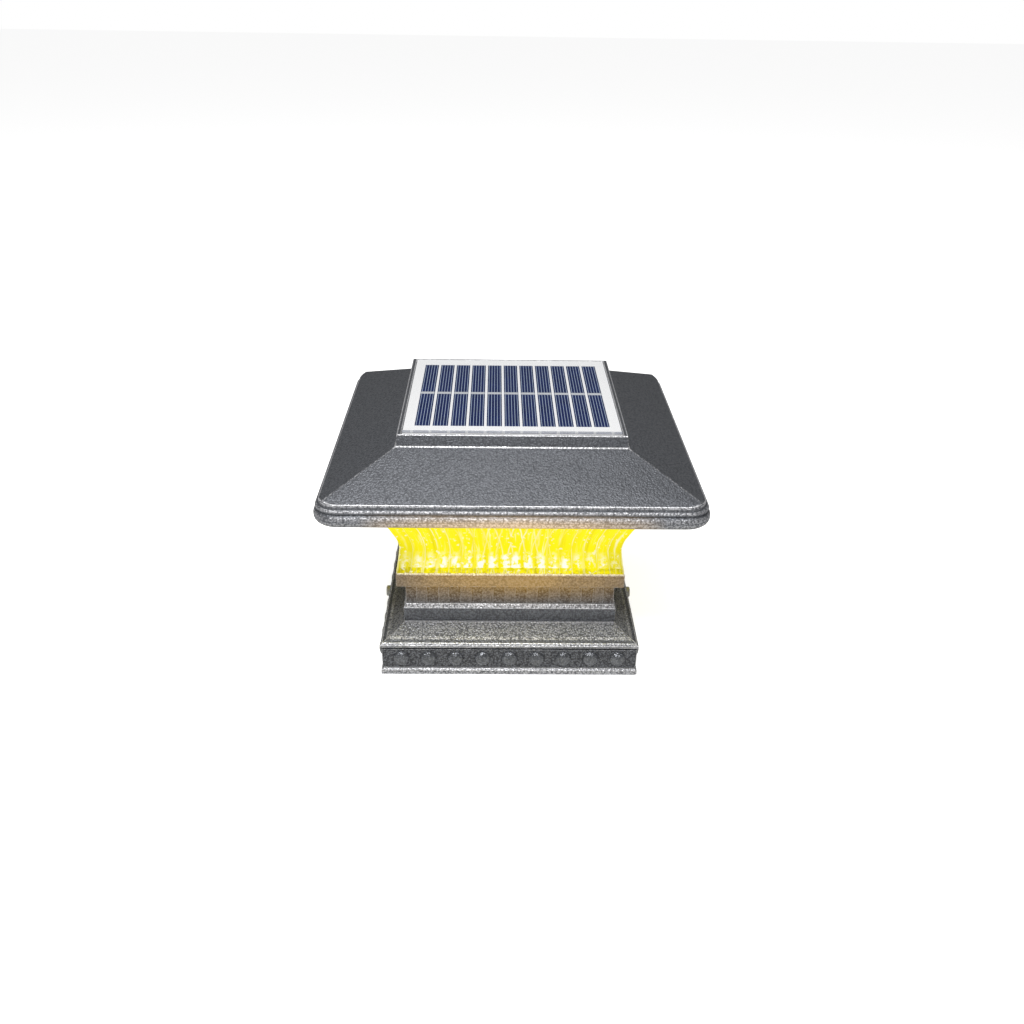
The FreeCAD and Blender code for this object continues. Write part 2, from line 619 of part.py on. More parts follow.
def electronics_tray():
    """Plate that closes the base from below, with the battery bay and the board's posts on top."""
    plate = square_slab(PLATE_HALF, PLATE_Z, PLATE_TOP)
    low = PLATE_TOP - 0.5                                    # pieces on the plate start inside it
    roof = 1.6
    wall = PLASTIC_WALL
    bay = centred_slab(BAY_X, BAY_Y, POCKET_X + wall, POCKET_Y + wall, low, POCKET_TOP + roof)
    flange = centred_slab(BAY_X, BAY_Y, DOOR_X + wall, DOOR_Y + wall, low, PLATE_TOP + roof)
    post = rod(DOOR_SCREW_X, BAY_Y, low, PLATE_TOP + 7, 3.2)
    cap = centred_slab(EAR_X - 0.5, BAY_Y, EAR_HALF_X + 1.5, EAR_HALF_Y + wall, low, PLATE_TOP + roof)
    supports = [rod(x, y, low, BOARD_Z, 2.4) for x, y in board_screw_places()]
    ledge = centred_slab(SWITCH_X, SWITCH_Y, SWITCH_HALF_X + 1.8, SWITCH_HALF_Y + 1.8, low, PLATE_TOP + 1.0)
    body = plate.multiFuse([bay, flange, post, cap, ledge] + supports)
    cuts = [door_recess(DOOR_GAP)]
    cuts += [centred_slab(BAY_X, BAY_Y, POCKET_X, POCKET_Y, PLATE_Z, POCKET_TOP)]
    cuts += [rod(DOOR_SCREW_X, BAY_Y, PLATE_TOP - 1, PLATE_TOP + 6, CASE_SCREW_R + 0.25)]
    cuts += [rod(x, y, BOARD_Z - 5, BOARD_Z + 1, 1.0) for x, y in board_screw_places()]
    cuts += [centred_slab(SWITCH_X, SWITCH_Y, 5.6, 2.8, PLATE_Z - 1, PLATE_TOP + 3)]
    seat_x = SWITCH_HALF_X + 0.1
    seat_y = SWITCH_HALF_Y + 0.1
    cuts += [centred_slab(SWITCH_X, SWITCH_Y, seat_x, seat_y, PLATE_TOP, PLATE_TOP + 3)]
    cuts += [slot for lug in (-LUG_AT, LUG_AT) for slot in lug_room(lug)]
    through_r = CASE_SCREW_R + 0.25
    for x, y in corners(TRAY_SCREW_AT):
        cuts.append(Part.makeCone(HEAD_R + 0.2, through_r, 1.5, V(x, y, PLATE_Z)))
        cuts.append(rod(x, y, PLATE_Z + 1, PLATE_TOP + 1, through_r))
    for side in (-1, 1):
        cuts.append(rod(BAY_X + side * TAB_X, BAY_Y, POCKET_TOP - 1, POCKET_TOP + 2, LEAD_R + 0.2))
    return body.cut(Part.makeCompound(cuts))


def lug_room(offset):
    """Pocket and pivot holes in the tray for one lug of the battery door."""
    y = BAY_Y + offset
    room = LUG_HALF + 0.4
    pocket = centred_slab(HINGE_X, y, LUG_HALF, room, PLATE_Z - 1, PLATE_TOP)
    throat = centred_slab(HINGE_X + 1.2, y, LUG_HALF, room, PLATE_Z - 1, PLATE_TOP)
    pivot = y_pin(y, 0.9, 6.4)
    return [pocket, throat, pivot]


def y_pin(y, radius, length):
    """A round pin on the door's hinge line, centred at y."""
    return Part.makeCylinder(radius, length, V(HINGE_X, y - length / 2, PIVOT_Z), V(0, 1, 0))


def battery_door():
    """Door under the battery: two pivoting lugs at one end and a screw ear at the other."""
    plate = centred_slab(BAY_X, BAY_Y, DOOR_X, DOOR_Y, PLATE_Z, DOOR_TOP)
    ear = centred_slab(EAR_X, BAY_Y, EAR_HALF_X, EAR_HALF_Y, PLATE_Z, DOOR_TOP)
    lugs = []
    for offset in (-LUG_AT, LUG_AT):
        y = BAY_Y + offset
        root = BAY_X - DOOR_X + 0.5
        lugs.append(slab(HINGE_X, root, y - LUG_HALF, y + LUG_HALF, PIVOT_Z - 0.7, PIVOT_Z + 0.7))
        lugs.append(y_pin(y, 0.7, 2 * LUG_HALF))
        lugs.append(y_pin(y, 0.6, 5.6))
    body = plate.multiFuse([ear] + lugs)
    through_r = CASE_SCREW_R + 0.25
    countersink = Part.makeCone(HEAD_R - 0.1, through_r, 1.2, V(DOOR_SCREW_X, BAY_Y, PLATE_Z))
    return body.cut(Part.makeCompound([countersink, rod(DOOR_SCREW_X, BAY_Y, PLATE_Z, PLATE_TOP, through_r)]))


def door_seal():
    outer = centred_slab(BAY_X, BAY_Y, DOOR_X - 0.1, DOOR_Y - 0.1, DOOR_TOP, PLATE_TOP)
    return outer.cut(centred_slab(BAY_X, BAY_Y, POCKET_X, POCKET_Y, DOOR_TOP, PLATE_TOP))


def door_screw():
    return flat_screw(DOOR_SCREW_X, BAY_Y, PLATE_Z, PLATE_TOP + 4.5, CASE_SCREW_R, HEAD_R - 0.2, 1.2)


def tray_screws():
    tip = PLATE_TOP + 8
    return [flat_screw(x, y, PLATE_Z, tip, CASE_SCREW_R, HEAD_R, 1.4) for x, y in corners(TRAY_SCREW_AT)]


def tray_seal():
    return square_ring(PLATE_HALF, BAY_HALF - 1.7, PLATE_TOP, SEAL_TOP)


def battery():
    """AA-size rechargeable cell, its button towards +X."""
    body_end = BATTERY_HALF - 1.2
    start = V(BAY_X - BATTERY_HALF, BAY_Y, BATTERY_Z)
    can = Part.makeCylinder(BATTERY_R, BATTERY_HALF + body_end, start, V(1, 0, 0))
    can = can.makeFillet(0.8, [e for e in can.Edges if e.BoundBox.XLength < 0.01])
    button = Part.makeCylinder(2.6, 1.6, V(BAY_X + body_end - 0.4, BAY_Y, BATTERY_Z), V(1, 0, 0))
    return fuse([can, button])


def battery_contact():
    """Plated strip at the button end, with a tab bent over towards the lead."""
    end = BAY_X + POCKET_X
    plate = slab(end - 0.5, end, BAY_Y - 5, BAY_Y + 5, PLATE_TOP + 1.5, POCKET_TOP)
    button_x = BAY_X + BATTERY_HALF
    bump = Part.makeCylinder(2.2, end - 0.5 - button_x, V(button_x, BAY_Y, BATTERY_Z), V(1, 0, 0))
    tab = slab(end - 6, end, BAY_Y - 2, BAY_Y + 2, POCKET_TOP - TAB_THICK, POCKET_TOP)
    return fuse([plate, bump, tab])


def battery_spring():
    """Leaf spring at the flat end: a back plate and a leaf folded against the cell."""
    end = BAY_X - POCKET_X
    back = slab(end, end + 0.5, BAY_Y - 5, BAY_Y + 5, PLATE_TOP + 1.5, POCKET_TOP)
    cell_x_end = BAY_X - BATTERY_HALF
    leaf_foot = PLATE_TOP + 1.5
    leaf_line = [
        (end + 0.2, leaf_foot), (cell_x_end, BATTERY_Z), (end + 1.4, BATTERY_Z + 4.5),
        (end + 1.0, BATTERY_Z + 4.3), (cell_x_end - 0.6, BATTERY_Z), (end + 0.2, leaf_foot + 0.9),
        (end + 0.2, leaf_foot),
    ]
    leaf_section = Part.makePolygon([V(x, BAY_Y - 3, z) for x, z in leaf_line])
    leaf = Part.Face(leaf_section).extrude(V(0, 6, 0))
    tab = slab(end, end + 6, BAY_Y - 2, BAY_Y + 2, POCKET_TOP - TAB_THICK, POCKET_TOP)
    return fuse([back, leaf, tab])


def board_screw_places():
    inset = 3.0
    return [(BOARD_X + sx * (BOARD_HALF_X - inset), BOARD_Y + sy * (BOARD_HALF_Y - inset))
            for sx in (-1, 1) for sy in (-1, 1)]


def control_board():
    board = centred_slab(BOARD_X, BOARD_Y, BOARD_HALF_X, BOARD_HALF_Y, BOARD_Z, BOARD_TOP)
    return board.cut(Part.makeCompound([rod(x, y, BOARD_Z, BOARD_TOP, 1.3) for x, y in board_screw_places()]))


def board_screws():
    places = board_screw_places()
    return [pan_screw(x, y, BOARD_TOP, BOARD_Z - 4, 1.0, SMALL_HEAD_R, SMALL_HEAD_HIGH) for x, y in places]


def controller_chip():
    """Small-outline charge controller: black case and four legs on each long side."""
    x = BOARD_X - 2
    y = BOARD_Y - 6
    leg_pitch = 1.27
    case = centred_slab(x, y, 2.5, 2.0, BOARD_TOP + 0.15, BOARD_TOP + 1.7)
    legs = [centred_slab(x + (n - 1.5) * leg_pitch, y, 0.2, 3.1, BOARD_TOP, BOARD_TOP + 0.5) for n in range(4)]
    return fuse([case] + legs)


def board_coil():
    """Drum inductor: a ferrite drum between two flanges, with its winding between them."""
    x = BOARD_X + 7
    y = BOARD_Y + 1
    flange = 1.0
    top = BOARD_TOP + 5.4
    low = rod(x, y, BOARD_TOP, BOARD_TOP + flange, 4.0)
    winding = rod(x, y, BOARD_TOP + flange, top - flange, 3.4)
    high = rod(x, y, top - flange, top, 4.0)
    return fuse([low, winding, high])


def board_capacitor():
    x = BOARD_X - 12
    y = BOARD_Y + 3
    top = BOARD_TOP + 8.0
    can = rod(x, y, BOARD_TOP + 0.4, top, 3.15)
    can = can.makeFillet(0.5, rims_at(can, top))
    return fuse([rod(x, y, BOARD_TOP, BOARD_TOP + 0.6, 2.8), can])


def switch_body():
    """Slide switch, dropped into its seat on top of the plate, with a slot for the slider."""
    case_top = PLATE_TOP + 5.0
    pin_pitch = 4.0
    case = centred_slab(SWITCH_X, SWITCH_Y, SWITCH_HALF_X, SWITCH_HALF_Y, PLATE_TOP, case_top)
    slot = centred_slab(SWITCH_X, SWITCH_Y, 5.2, 2.2, PLATE_TOP - 1, PLATE_TOP + 1.8)
    pin_places = [SWITCH_X + n * pin_pitch for n in (-1, 0, 1)]
    pins = [centred_slab(x, SWITCH_Y, 0.5, 0.3, case_top - 0.2, case_top + 3.0) for x in pin_places]
    return case.multiFuse(pins).cut(slot)


def switch_slider():
    """Ribbed thumb piece. At rest it is at its -X end, which is off."""
    x = SWITCH_X - SWITCH_TRAVEL / 2
    foot = centred_slab(x, SWITCH_Y, SLIDER_HALF_X + 0.3, SLIDER_HALF_Y, PLATE_TOP - 0.2, PLATE_TOP + 1.5)
    knob = centred_slab(x, SWITCH_Y, SLIDER_HALF_X, SLIDER_HALF_Y, PLATE_Z + 0.1, PLATE_TOP)
    grooves = [centred_slab(x + n * 1.3, SWITCH_Y, 0.3, 3, PLATE_Z, PLATE_Z + 0.6) for n in (-1, 0, 1)]
    return fuse([foot, knob]).cut(Part.makeCompound(grooves))


# ---- leads held inside the lamp -------------------------------------------------------------
def panel_lead(side):
    """From the panel down the middle of the column to the board."""
    x = side * 2.4
    end_x = BOARD_X - 5 + side * 2
    return lead([
        (x, 0, PAD_TOP), (x, 0, 96), (x * 0.7, side * 2.0, 84), (x, side * 1.0, 66),
        (x, side * 1.5, 49), (x * 0.8, 2.0, 39.5), (end_x, 12.0, 33.5),
        (end_x, BOARD_Y - 1.0, 32.5), (end_x, BOARD_Y - 1.0, BOARD_TOP),
    ], LEAD_R)


def battery_lead(side):
    """From a contact's tab, out through the roof of the bay, to the edge of the board."""
    x = BAY_X + side * TAB_X
    end_x = BOARD_X + side * 9
    return lead([
        (x, BAY_Y, POCKET_TOP), (x, BAY_Y, POCKET_TOP + 4.5), (x - side * 6, BAY_Y + 12, POCKET_TOP + 4.0),
        (end_x, BOARD_Y - 15, POCKET_TOP + 2.0), (end_x, BOARD_Y - 9.0, POCKET_TOP),
        (end_x, BOARD_Y - 9.0, BOARD_TOP),
    ], LEAD_R)


def led_lead(side):
    """From the inner edge of the light board, down through the deck, to the board."""
    x = LED_LEAD_X + side * 1.3
    hole_y = LED_HOLE_Y
    end_x = BOARD_X + 13 + side * 1.3
    return lead([
        (x, LED_BOARD_IN + 1.0, LED_BOARD_TOP), (x, LED_BOARD_IN + 1.0, LED_BOARD_TOP + 3.0),
        (x, hole_y, LED_BOARD_TOP + 2.6), (x, hole_y, DECK_UNDER - 3.0),
        (end_x, BOARD_Y + 7.0, 34.0), (end_x, BOARD_Y + 7.0, BOARD_TOP),
    ], LEAD_R)


# ---- write every piece ----------------------------------------------------------------------
def pieces():
    nodes = {
        "base_housing": base_housing(),
        "dome_studs": dome_studs(),
        "clamp_screw_left": clamp_screw(-1),
        "clamp_screw_right": clamp_screw(1),
        "lens_bottom_gasket": lens_bottom_gasket(),
        "light_deck": light_deck(),
        "led_board": led_board(),
        "led_board_screws": led_board_screws(),
        "reflector_column": reflector_column(),
        "lens": lens(),
        "lens_top_gasket": lens_top_gasket(),
        "crown_tray": crown_tray(),
        "crown_shell": crown_shell(),
        "crown_screws": crown_screws(),
        "tie_screws": tie_screws(),
        "tie_nuts": tie_nuts(),
        "panel_pad": panel_pad(),
        "panel_board": panel_board(),
        "cell_ribbon": cell_ribbon(),
        "panel_cover": panel_cover(),
        "electronics_tray": electronics_tray(),
        "tray_seal": tray_seal(),
        "tray_screws": tray_screws(),
        "battery": battery(),
        "battery_contact": battery_contact(),
        "battery_spring": battery_spring(),
        "battery_door": battery_door(),
        "door_seal": door_seal(),
        "door_screw": door_screw(),
        "control_board": control_board(),
        "board_screws": board_screws(),
        "controller_chip": controller_chip(),
        "board_coil": board_coil(),
        "board_capacitor": board_capacitor(),
        "switch_body": switch_body(),
        "switch_slider": switch_slider(),
    }
    for name, side in (("black", -1), ("red", 1)):
        nodes["panel_lead_" + name] = panel_lead(side)
        nodes["battery_lead_" + name] = battery_lead(side)
        nodes["led_lead_" + name] = led_lead(side)
    for index in range(CELL_COUNT):
        nodes["solar_cell_%02d" % (index + 1)] = solar_cell(index)
    for name, degrees in (("front", 0), ("right", 90), ("back", 180), ("left", 270)):
        nodes["leds_" + name] = [turned(light, degrees) for light in front_lights()]
    return nodes


def main():
    os.makedirs("parts", exist_ok=True)
    for name, shape in pieces().items():
        whole = Part.makeCompound(shape) if isinstance(shape, list) else shape
        whole.exportStep("parts/%s.step" % name)
        print(name, "valid", whole.isValid(), "solids", len(whole.Solids), "volume", round(whole.Volume, 1))


main()
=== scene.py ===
# %% [markdown]
# A deck post cap light is a small square lantern that slips over the end of a fence or deck post.
# A solar panel lies on its cast roof, a flared yellow lens glows under the rim, and a stepped,
# studded base holds the post. The hidden works are already in the frame, at their real size.
# This lesson dresses that frame: it models the pieces that show and gives every piece its finish.

# %% Load the frame and keep its box
import bpy
import json
import math
from mathutils import Matrix, Vector


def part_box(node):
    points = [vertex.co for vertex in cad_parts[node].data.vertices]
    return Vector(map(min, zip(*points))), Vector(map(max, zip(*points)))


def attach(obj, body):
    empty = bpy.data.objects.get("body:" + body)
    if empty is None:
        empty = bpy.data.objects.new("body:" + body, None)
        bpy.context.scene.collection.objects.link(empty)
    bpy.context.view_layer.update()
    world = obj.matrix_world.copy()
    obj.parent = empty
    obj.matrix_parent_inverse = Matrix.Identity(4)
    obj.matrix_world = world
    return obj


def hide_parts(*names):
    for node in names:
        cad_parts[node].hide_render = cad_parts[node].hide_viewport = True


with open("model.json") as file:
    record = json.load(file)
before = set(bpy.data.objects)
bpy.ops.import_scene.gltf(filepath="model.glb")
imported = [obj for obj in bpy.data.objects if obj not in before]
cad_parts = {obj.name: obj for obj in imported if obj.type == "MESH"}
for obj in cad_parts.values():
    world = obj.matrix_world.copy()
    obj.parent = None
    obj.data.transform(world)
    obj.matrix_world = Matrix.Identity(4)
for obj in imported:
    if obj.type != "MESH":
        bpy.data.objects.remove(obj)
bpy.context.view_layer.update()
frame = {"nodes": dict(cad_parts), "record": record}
bpy.ops.object.select_all(action="DESELECT")
MM = 0.001
print("nodes in the frame:", len(frame["nodes"]))

# %% [markdown]
# The photograph looks down at the lamp from in front. Its viewpoint was worked out from the edges
# of the crown and the base, so the camera is placed by that result: where it stands, how far it
# turns to the side, how far it looks down, and how far it leans.

# %% Camera at the photograph's angle
CAMERA_AT = Vector((-6.930, -413.862, 264.802)) * MM
CAMERA_RIGHT = Vector((0.999826, -0.012200, 0.014131))
CAMERA_UP = Vector((-0.006950, 0.459303, 0.888252))
CAMERA_FORWARD = Vector((0.017327, 0.888196, -0.459139))
LENS_MM = 35.905
SENSOR_MM = 36.0

camera_data = bpy.data.cameras.new("photo_camera")
camera_data.lens = LENS_MM
camera_data.sensor_width = SENSOR_MM
camera_data.sensor_fit = "HORIZONTAL"
camera_data.clip_start = 0.01
camera = bpy.data.objects.new("photo_camera", camera_data)
bpy.context.scene.collection.objects.link(camera)
turn = Matrix((CAMERA_RIGHT, CAMERA_UP, -CAMERA_FORWARD)).transposed()
camera.matrix_world = Matrix.Translation(CAMERA_AT) @ turn.to_4x4()
bpy.context.scene.camera = camera
bpy.context.scene.view_settings.view_transform = "Standard"
print("camera", round(CAMERA_AT.length, 3), "m from the lamp's foot")

# %% [markdown]
# An operator acts on whatever is selected, so every helper first picks its own piece. One opens a
# piece for editing, one puts its place into its mesh, and one turns modifiers into real mesh.

# %% Pick, edit and settle
def pick(piece):
    """Selects one piece alone and makes it the active one."""
    bpy.ops.object.select_all(action="DESELECT")
    piece.select_set(True)
    bpy.context.view_layer.objects.active = piece


def edit(piece, mode="VERT"):
    """Opens a piece in edit mode with everything in it selected."""
    pick(piece)
    bpy.ops.object.mode_set(mode="EDIT")
    bpy.ops.mesh.select_mode(type=mode)
    bpy.ops.mesh.select_all(action="SELECT")


def leave_edit():
    bpy.ops.object.mode_set(mode="OBJECT")


def settle(piece):
    """Puts a piece's place into its mesh, so that its own origin is the frame's."""
    pick(piece)
    bpy.ops.object.transform_apply(location=True, rotation=True, scale=True)
    return piece


def apply_all(piece):
    """Applies every modifier, in order."""
    pick(piece)
    for modifier in list(piece.modifiers):
        bpy.ops.object.modifier_apply(modifier=modifier.name)
    return piece


def smooth(piece, degrees=35):
    """Shades smooth, but keeps each edge that turns by more than the angle."""
    pick(piece)
    bpy.ops.object.shade_smooth_by_angle(angle=math.radians(degrees))

# %% [markdown]
# What repeats on the lamp is modelled once. An Array modifier lines it up along a side. A copy gets
# a mesh of its own, is turned by quarters for the four sides, and all are joined into one piece.

# %% Copy, turn, line up and join
def copy_of(piece, name):
    """A copy with a mesh of its own."""
    twin = piece.copy()
    twin.data = piece.data.copy()
    twin.name = name
    bpy.context.scene.collection.objects.link(twin)
    return twin


def join(pieces, name):
    bpy.ops.object.select_all(action="DESELECT")
    for piece in pieces:
        piece.select_set(True)
    bpy.context.view_layer.objects.active = pieces[0]
    bpy.ops.object.join()
    pieces[0].name = name
    return pieces[0]


def turned(piece, quarter, name):
    """A copy, turned by a number of quarter turns about the lamp's middle."""
    twin = copy_of(piece, name)
    twin.rotation_euler = (0, 0, quarter * math.pi / 2)
    return settle(twin)


def lined_up(piece, count, pitch):
    """Repeats a piece along X with an Array modifier, and keeps the result as mesh."""
    array = piece.modifiers.new("row", "ARRAY")
    array.count = count
    array.use_relative_offset = False
    array.use_constant_offset = True
    array.constant_offset_displace = (pitch * MM, 0, 0)
    return apply_all(piece)

# %% [markdown]
# A cast edge is never sharp, so a Bevel modifier rounds the edges of each casting. Holes, seats and
# trimmed corners come from a second solid through a Boolean modifier. Both are applied at once.

# %% Normals, bevel and boolean
def outward(piece):
    """Merges doubled corners and turns every face outwards."""
    edit(piece)
    bpy.ops.mesh.remove_doubles(threshold=0.00001)
    bpy.ops.mesh.normals_make_consistent(inside=False)
    leave_edit()
    return piece


def bevel(piece, width, segments=3, degrees=25, slot=-1):
    """Rounds every edge that turns by more than the angle, and keeps the result as mesh."""
    modifier = piece.modifiers.new("edges", "BEVEL")
    modifier.width = width * MM
    modifier.segments = segments
    modifier.limit_method = "ANGLE"
    modifier.angle_limit = math.radians(degrees)
    modifier.material = slot
    return apply_all(piece)


def boolean(piece, other, operation):
    """Cuts, joins or keeps what a second solid shares, and removes the second solid."""
    modifier = piece.modifiers.new("boolean", "BOOLEAN")
    modifier.object = other
    modifier.operation = operation
    modifier.solver = "EXACT"
    apply_all(piece)
    bpy.data.objects.remove(other)
    return piece

# %% [markdown]
# Castings like these are designed as a section: a line of straight runs and arcs, as half a width
# and a height. The section is written that way here, and the arcs are sampled from three points.

# %% Outlines with arcs
def arc_points(start, middle, end, steps):
    """Points along the circle through three points, after the start."""
    ax, ay = start
    bx, by = middle
    cx, cy = end
    # the circle's centre lies as far from each of the three points
    d = 2 * (ax * (by - cy) + bx * (cy - ay) + cx * (ay - by))
    aa, bb, cc = ax**2 + ay**2, bx**2 + by**2, cx**2 + cy**2
    ux = (aa * (by - cy) + bb * (cy - ay) + cc * (ay - by)) / d
    uy = (aa * (cx - bx) + bb * (ax - cx) + cc * (bx - ax)) / d
    radius = math.hypot(ax - ux, ay - uy)
    first = math.atan2(ay - uy, ax - ux)
    halfway = math.remainder(math.atan2(by - uy, bx - ux) - first, math.tau)
    rest = math.remainder(math.atan2(cy - uy, cx - ux) - first - halfway, math.tau)
    sweep = halfway + rest
    angles = [first + sweep * n / steps for n in range(1, steps + 1)]
    return [(ux + radius * math.cos(a), uy + radius * math.sin(a)) for a in angles]


def outline(points, steps=6):
    """(half, z) points in millimetres; a (middle, end) pair stands for an arc."""
    spots = [points[0]]
    for step in points[1:]:
        if isinstance(step[0], tuple):
            spots += arc_points(spots[-1], step[0], step[1], steps)
        else:
            spots.append(step)
    return spots

# %% [markdown]
# Two ways turn a section into a square casting. Where the corners are mitred, a flat square is
# pushed up and resized from point to point. Where they are round, the section itself is drawn,
# run along each side and spun round each corner.

# %% Square stacks and mouldings
def square_stack(name, spots):
    """A flat square that is pushed up and resized from one (half, z) point to the next."""
    half, z = spots[0]
    bpy.ops.mesh.primitive_plane_add(size=2 * half * MM, location=(0, 0, z * MM))
    piece = settle(bpy.context.object)
    piece.name = name
    edit(piece, "FACE")
    for (half_0, z_0), (half_1, z_1) in zip(spots, spots[1:]):
        grow = half_1 / half_0
        bpy.ops.mesh.extrude_region_move(TRANSFORM_OT_translate={"value": (0, 0, (z_1 - z_0) * MM)})
        bpy.ops.transform.resize(value=(grow, grow, 1), center_override=(0, 0, z_1 * MM))
    bpy.ops.mesh.select_mode(type="EDGE")
    bpy.ops.mesh.select_all(action="DESELECT")
    bpy.ops.mesh.select_non_manifold()
    bpy.ops.mesh.edge_face_add()
    leave_edit()
    return outward(piece)


def drawn_line(name, spots):
    """One vertex, extruded from point to point, as a section is drawn by hand."""
    bpy.ops.mesh.primitive_plane_add(size=MM, location=spots[0])
    piece = settle(bpy.context.object)
    piece.name = name
    edit(piece)
    bpy.ops.mesh.merge(type="CENTER")
    for start, end in zip(spots, spots[1:]):
        step = Vector(end) - Vector(start)
        bpy.ops.mesh.extrude_vertices_move(TRANSFORM_OT_translate={"value": step})
    leave_edit()
    return piece


def moulding(name, spots, core, steps=10):
    """A closed section, run along four sides and spun round four corners at the core's."""
    section = [(half * MM, -core * MM, z * MM) for half, z in spots]
    piece = drawn_line(name, section + [section[0]])
    edit(piece, "EDGE")
    bpy.ops.mesh.remove_doubles(threshold=0.000001)
    bpy.ops.mesh.select_all(action="SELECT")
    way = Vector((0, 1, 0))
    centre = Vector((core, core, 0)) * MM
    for side in range(4):
        bpy.ops.mesh.extrude_edges_move(TRANSFORM_OT_translate={"value": way * 2 * core * MM})
        bpy.ops.mesh.spin(steps=steps, angle=-math.pi / 2, center=centre, axis=(0, 0, 1))
        way = Vector((-way.y, way.x, 0))
        centre = Vector((-centre.y, centre.x, 0))
    leave_edit()
    return outward(piece)


def box_piece(name, low, high):
    """A box between two corners, in millimetres."""
    size = [h - l for l, h in zip(low, high)]
    middle = [(h + l) / 2 * MM for l, h in zip(low, high)]
    bpy.ops.mesh.primitive_cube_add(size=MM, location=middle, scale=size)
    piece = settle(bpy.context.object)
    piece.name = name
    return piece

# %% [markdown]
# Every measure below is in millimetres, from the fitted photograph. The heights count from the
# base's lower rim, and a "half" is half a square's width. Nodes of the frame give the rest.

# %% Driving dimensions
CORNER_CORE = 66.0
CROWN_HALF = 76.0
CROWN_Z = 82.1
SLOPE_Z = 91.2
SLOPE_HALF = 73.8
BLOCK_HALF = 46.0
BLOCK_Z = 103.1
BLOCK_TOP = 108.05
BASE_HALF = 55.0
BAND_HALF = 54.4
COLLAR_HALF = 47.8
DECK_Z = 46.6
STUD_PITCH = 11.55
STUD_R = 3.5
STUD_RISE = 2.0
STUD_Z = 8.5
TOOTH_PITCH = 9.36
TOOTH_WIDTH = 4.68
TOOTH_RISE = 0.5
LIP_TOP = 3.2
LEDGE_Z = 13.9
LEDGE_TOP = 15.7
FOOT_HALF = 52.0
FOOT_Z = 17.1
STEP_HALF = 45.3
STEP_Z = 21.0
STEP_TOP = 28.3
DENTIL_HALF = 44.2
DENTIL_Z = 29.5
COLLAR_Z = 39.8
CLAMP_BOSS_R = 4.4
CLAMP_HOLE_R = 2.6
PANEL_LOW, PANEL_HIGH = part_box("panel_board")
CELL_LOW, CELL_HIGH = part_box("solar_cell_01")
COVER_LOW, COVER_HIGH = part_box("panel_cover")
LENS_LOW, LENS_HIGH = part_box("lens")
LAST_CELL_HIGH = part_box("solar_cell_11")[1]
CELL_WIDTH = (CELL_HIGH.x - CELL_LOW.x) / MM
NEXT_CELL = (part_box("solar_cell_02")[0].x - CELL_LOW.x) / MM
print("cell", round(CELL_WIDTH, 2), "pitch", round(NEXT_CELL, 2))

# %% [markdown]
# A finish on this lamp repeats a few effects, and each is a node group with named inputs, built
# once. These helpers keep the node code short: most of it is arithmetic on masks and heights.

# %% Node helpers
def group(name, inputs, outputs):
    """A new node group. An input is (label, kind, value), and an output (label, kind)."""
    tree = bpy.data.node_groups.new(name, "ShaderNodeTree")
    for label, kind, value in inputs:
        socket = tree.interface.new_socket(name=label, in_out="INPUT", socket_type=kind)
        socket.default_value = value
    for label, kind in outputs:
        tree.interface.new_socket(name=label, in_out="OUTPUT", socket_type=kind)
    return tree, tree.nodes.new("NodeGroupInput"), tree.nodes.new("NodeGroupOutput")


def add(tree, kind, **settings):
    node = tree.nodes.new(kind)
    for key, value in settings.items():
        setattr(node, key, value)
    return node


def math_node(tree, operation, first, second=None, third=None, clamp=False):
    """A math node. An input is a socket or a number."""
    node = add(tree, "ShaderNodeMath", operation=operation, use_clamp=clamp)
    for place, value in enumerate((first, second, third)):
        if value is None:
            continue
        if isinstance(value, (int, float)):
            node.inputs[place].default_value = value
        else:
            tree.links.new(value, node.inputs[place])
    return node.outputs[0]


def mix_colour(tree, factor, first, second):
    """The first colour at a factor of 0, and the second at 1. Its colours are sockets 6 and 7."""
    node = add(tree, "ShaderNodeMix", data_type="RGBA")
    for place, value in ((0, factor), (6, first), (7, second)):
        if isinstance(value, (tuple, int, float)):
            node.inputs[place].default_value = value
        else:
            tree.links.new(value, node.inputs[place])
    return node.outputs[2]


def noise(tree, place, scale, detail=2.0, rough=0.5):
    """A noise texture's value. The scale is a socket or a number."""
    node = add(tree, "ShaderNodeTexNoise")
    node.inputs["Detail"].default_value = detail
    node.inputs["Roughness"].default_value = rough
    tree.links.new(place, node.inputs["Vector"])
    if isinstance(scale, (int, float)):
        node.inputs["Scale"].default_value = scale
    else:
        tree.links.new(scale, node.inputs["Scale"])
    return node.outputs["Fac"]


def split(tree, vector):
    """A node whose outputs are a vector's X, Y and Z."""
    node = add(tree, "ShaderNodeSeparateXYZ")
    tree.links.new(vector, node.inputs[0])
    return node

# %% [markdown]
# Powder coat on the castings dries with a grain like orange peel: low domes under a millimetre
# wide, not quite round. Voronoi cells give the domes, a noise warps them, and a finer noise is laid
# over them. The same height, cut at a level, gives the speckle that the coat's colour follows.

# %% Pebble grain
GRAIN_WARP = 0.9 * MM


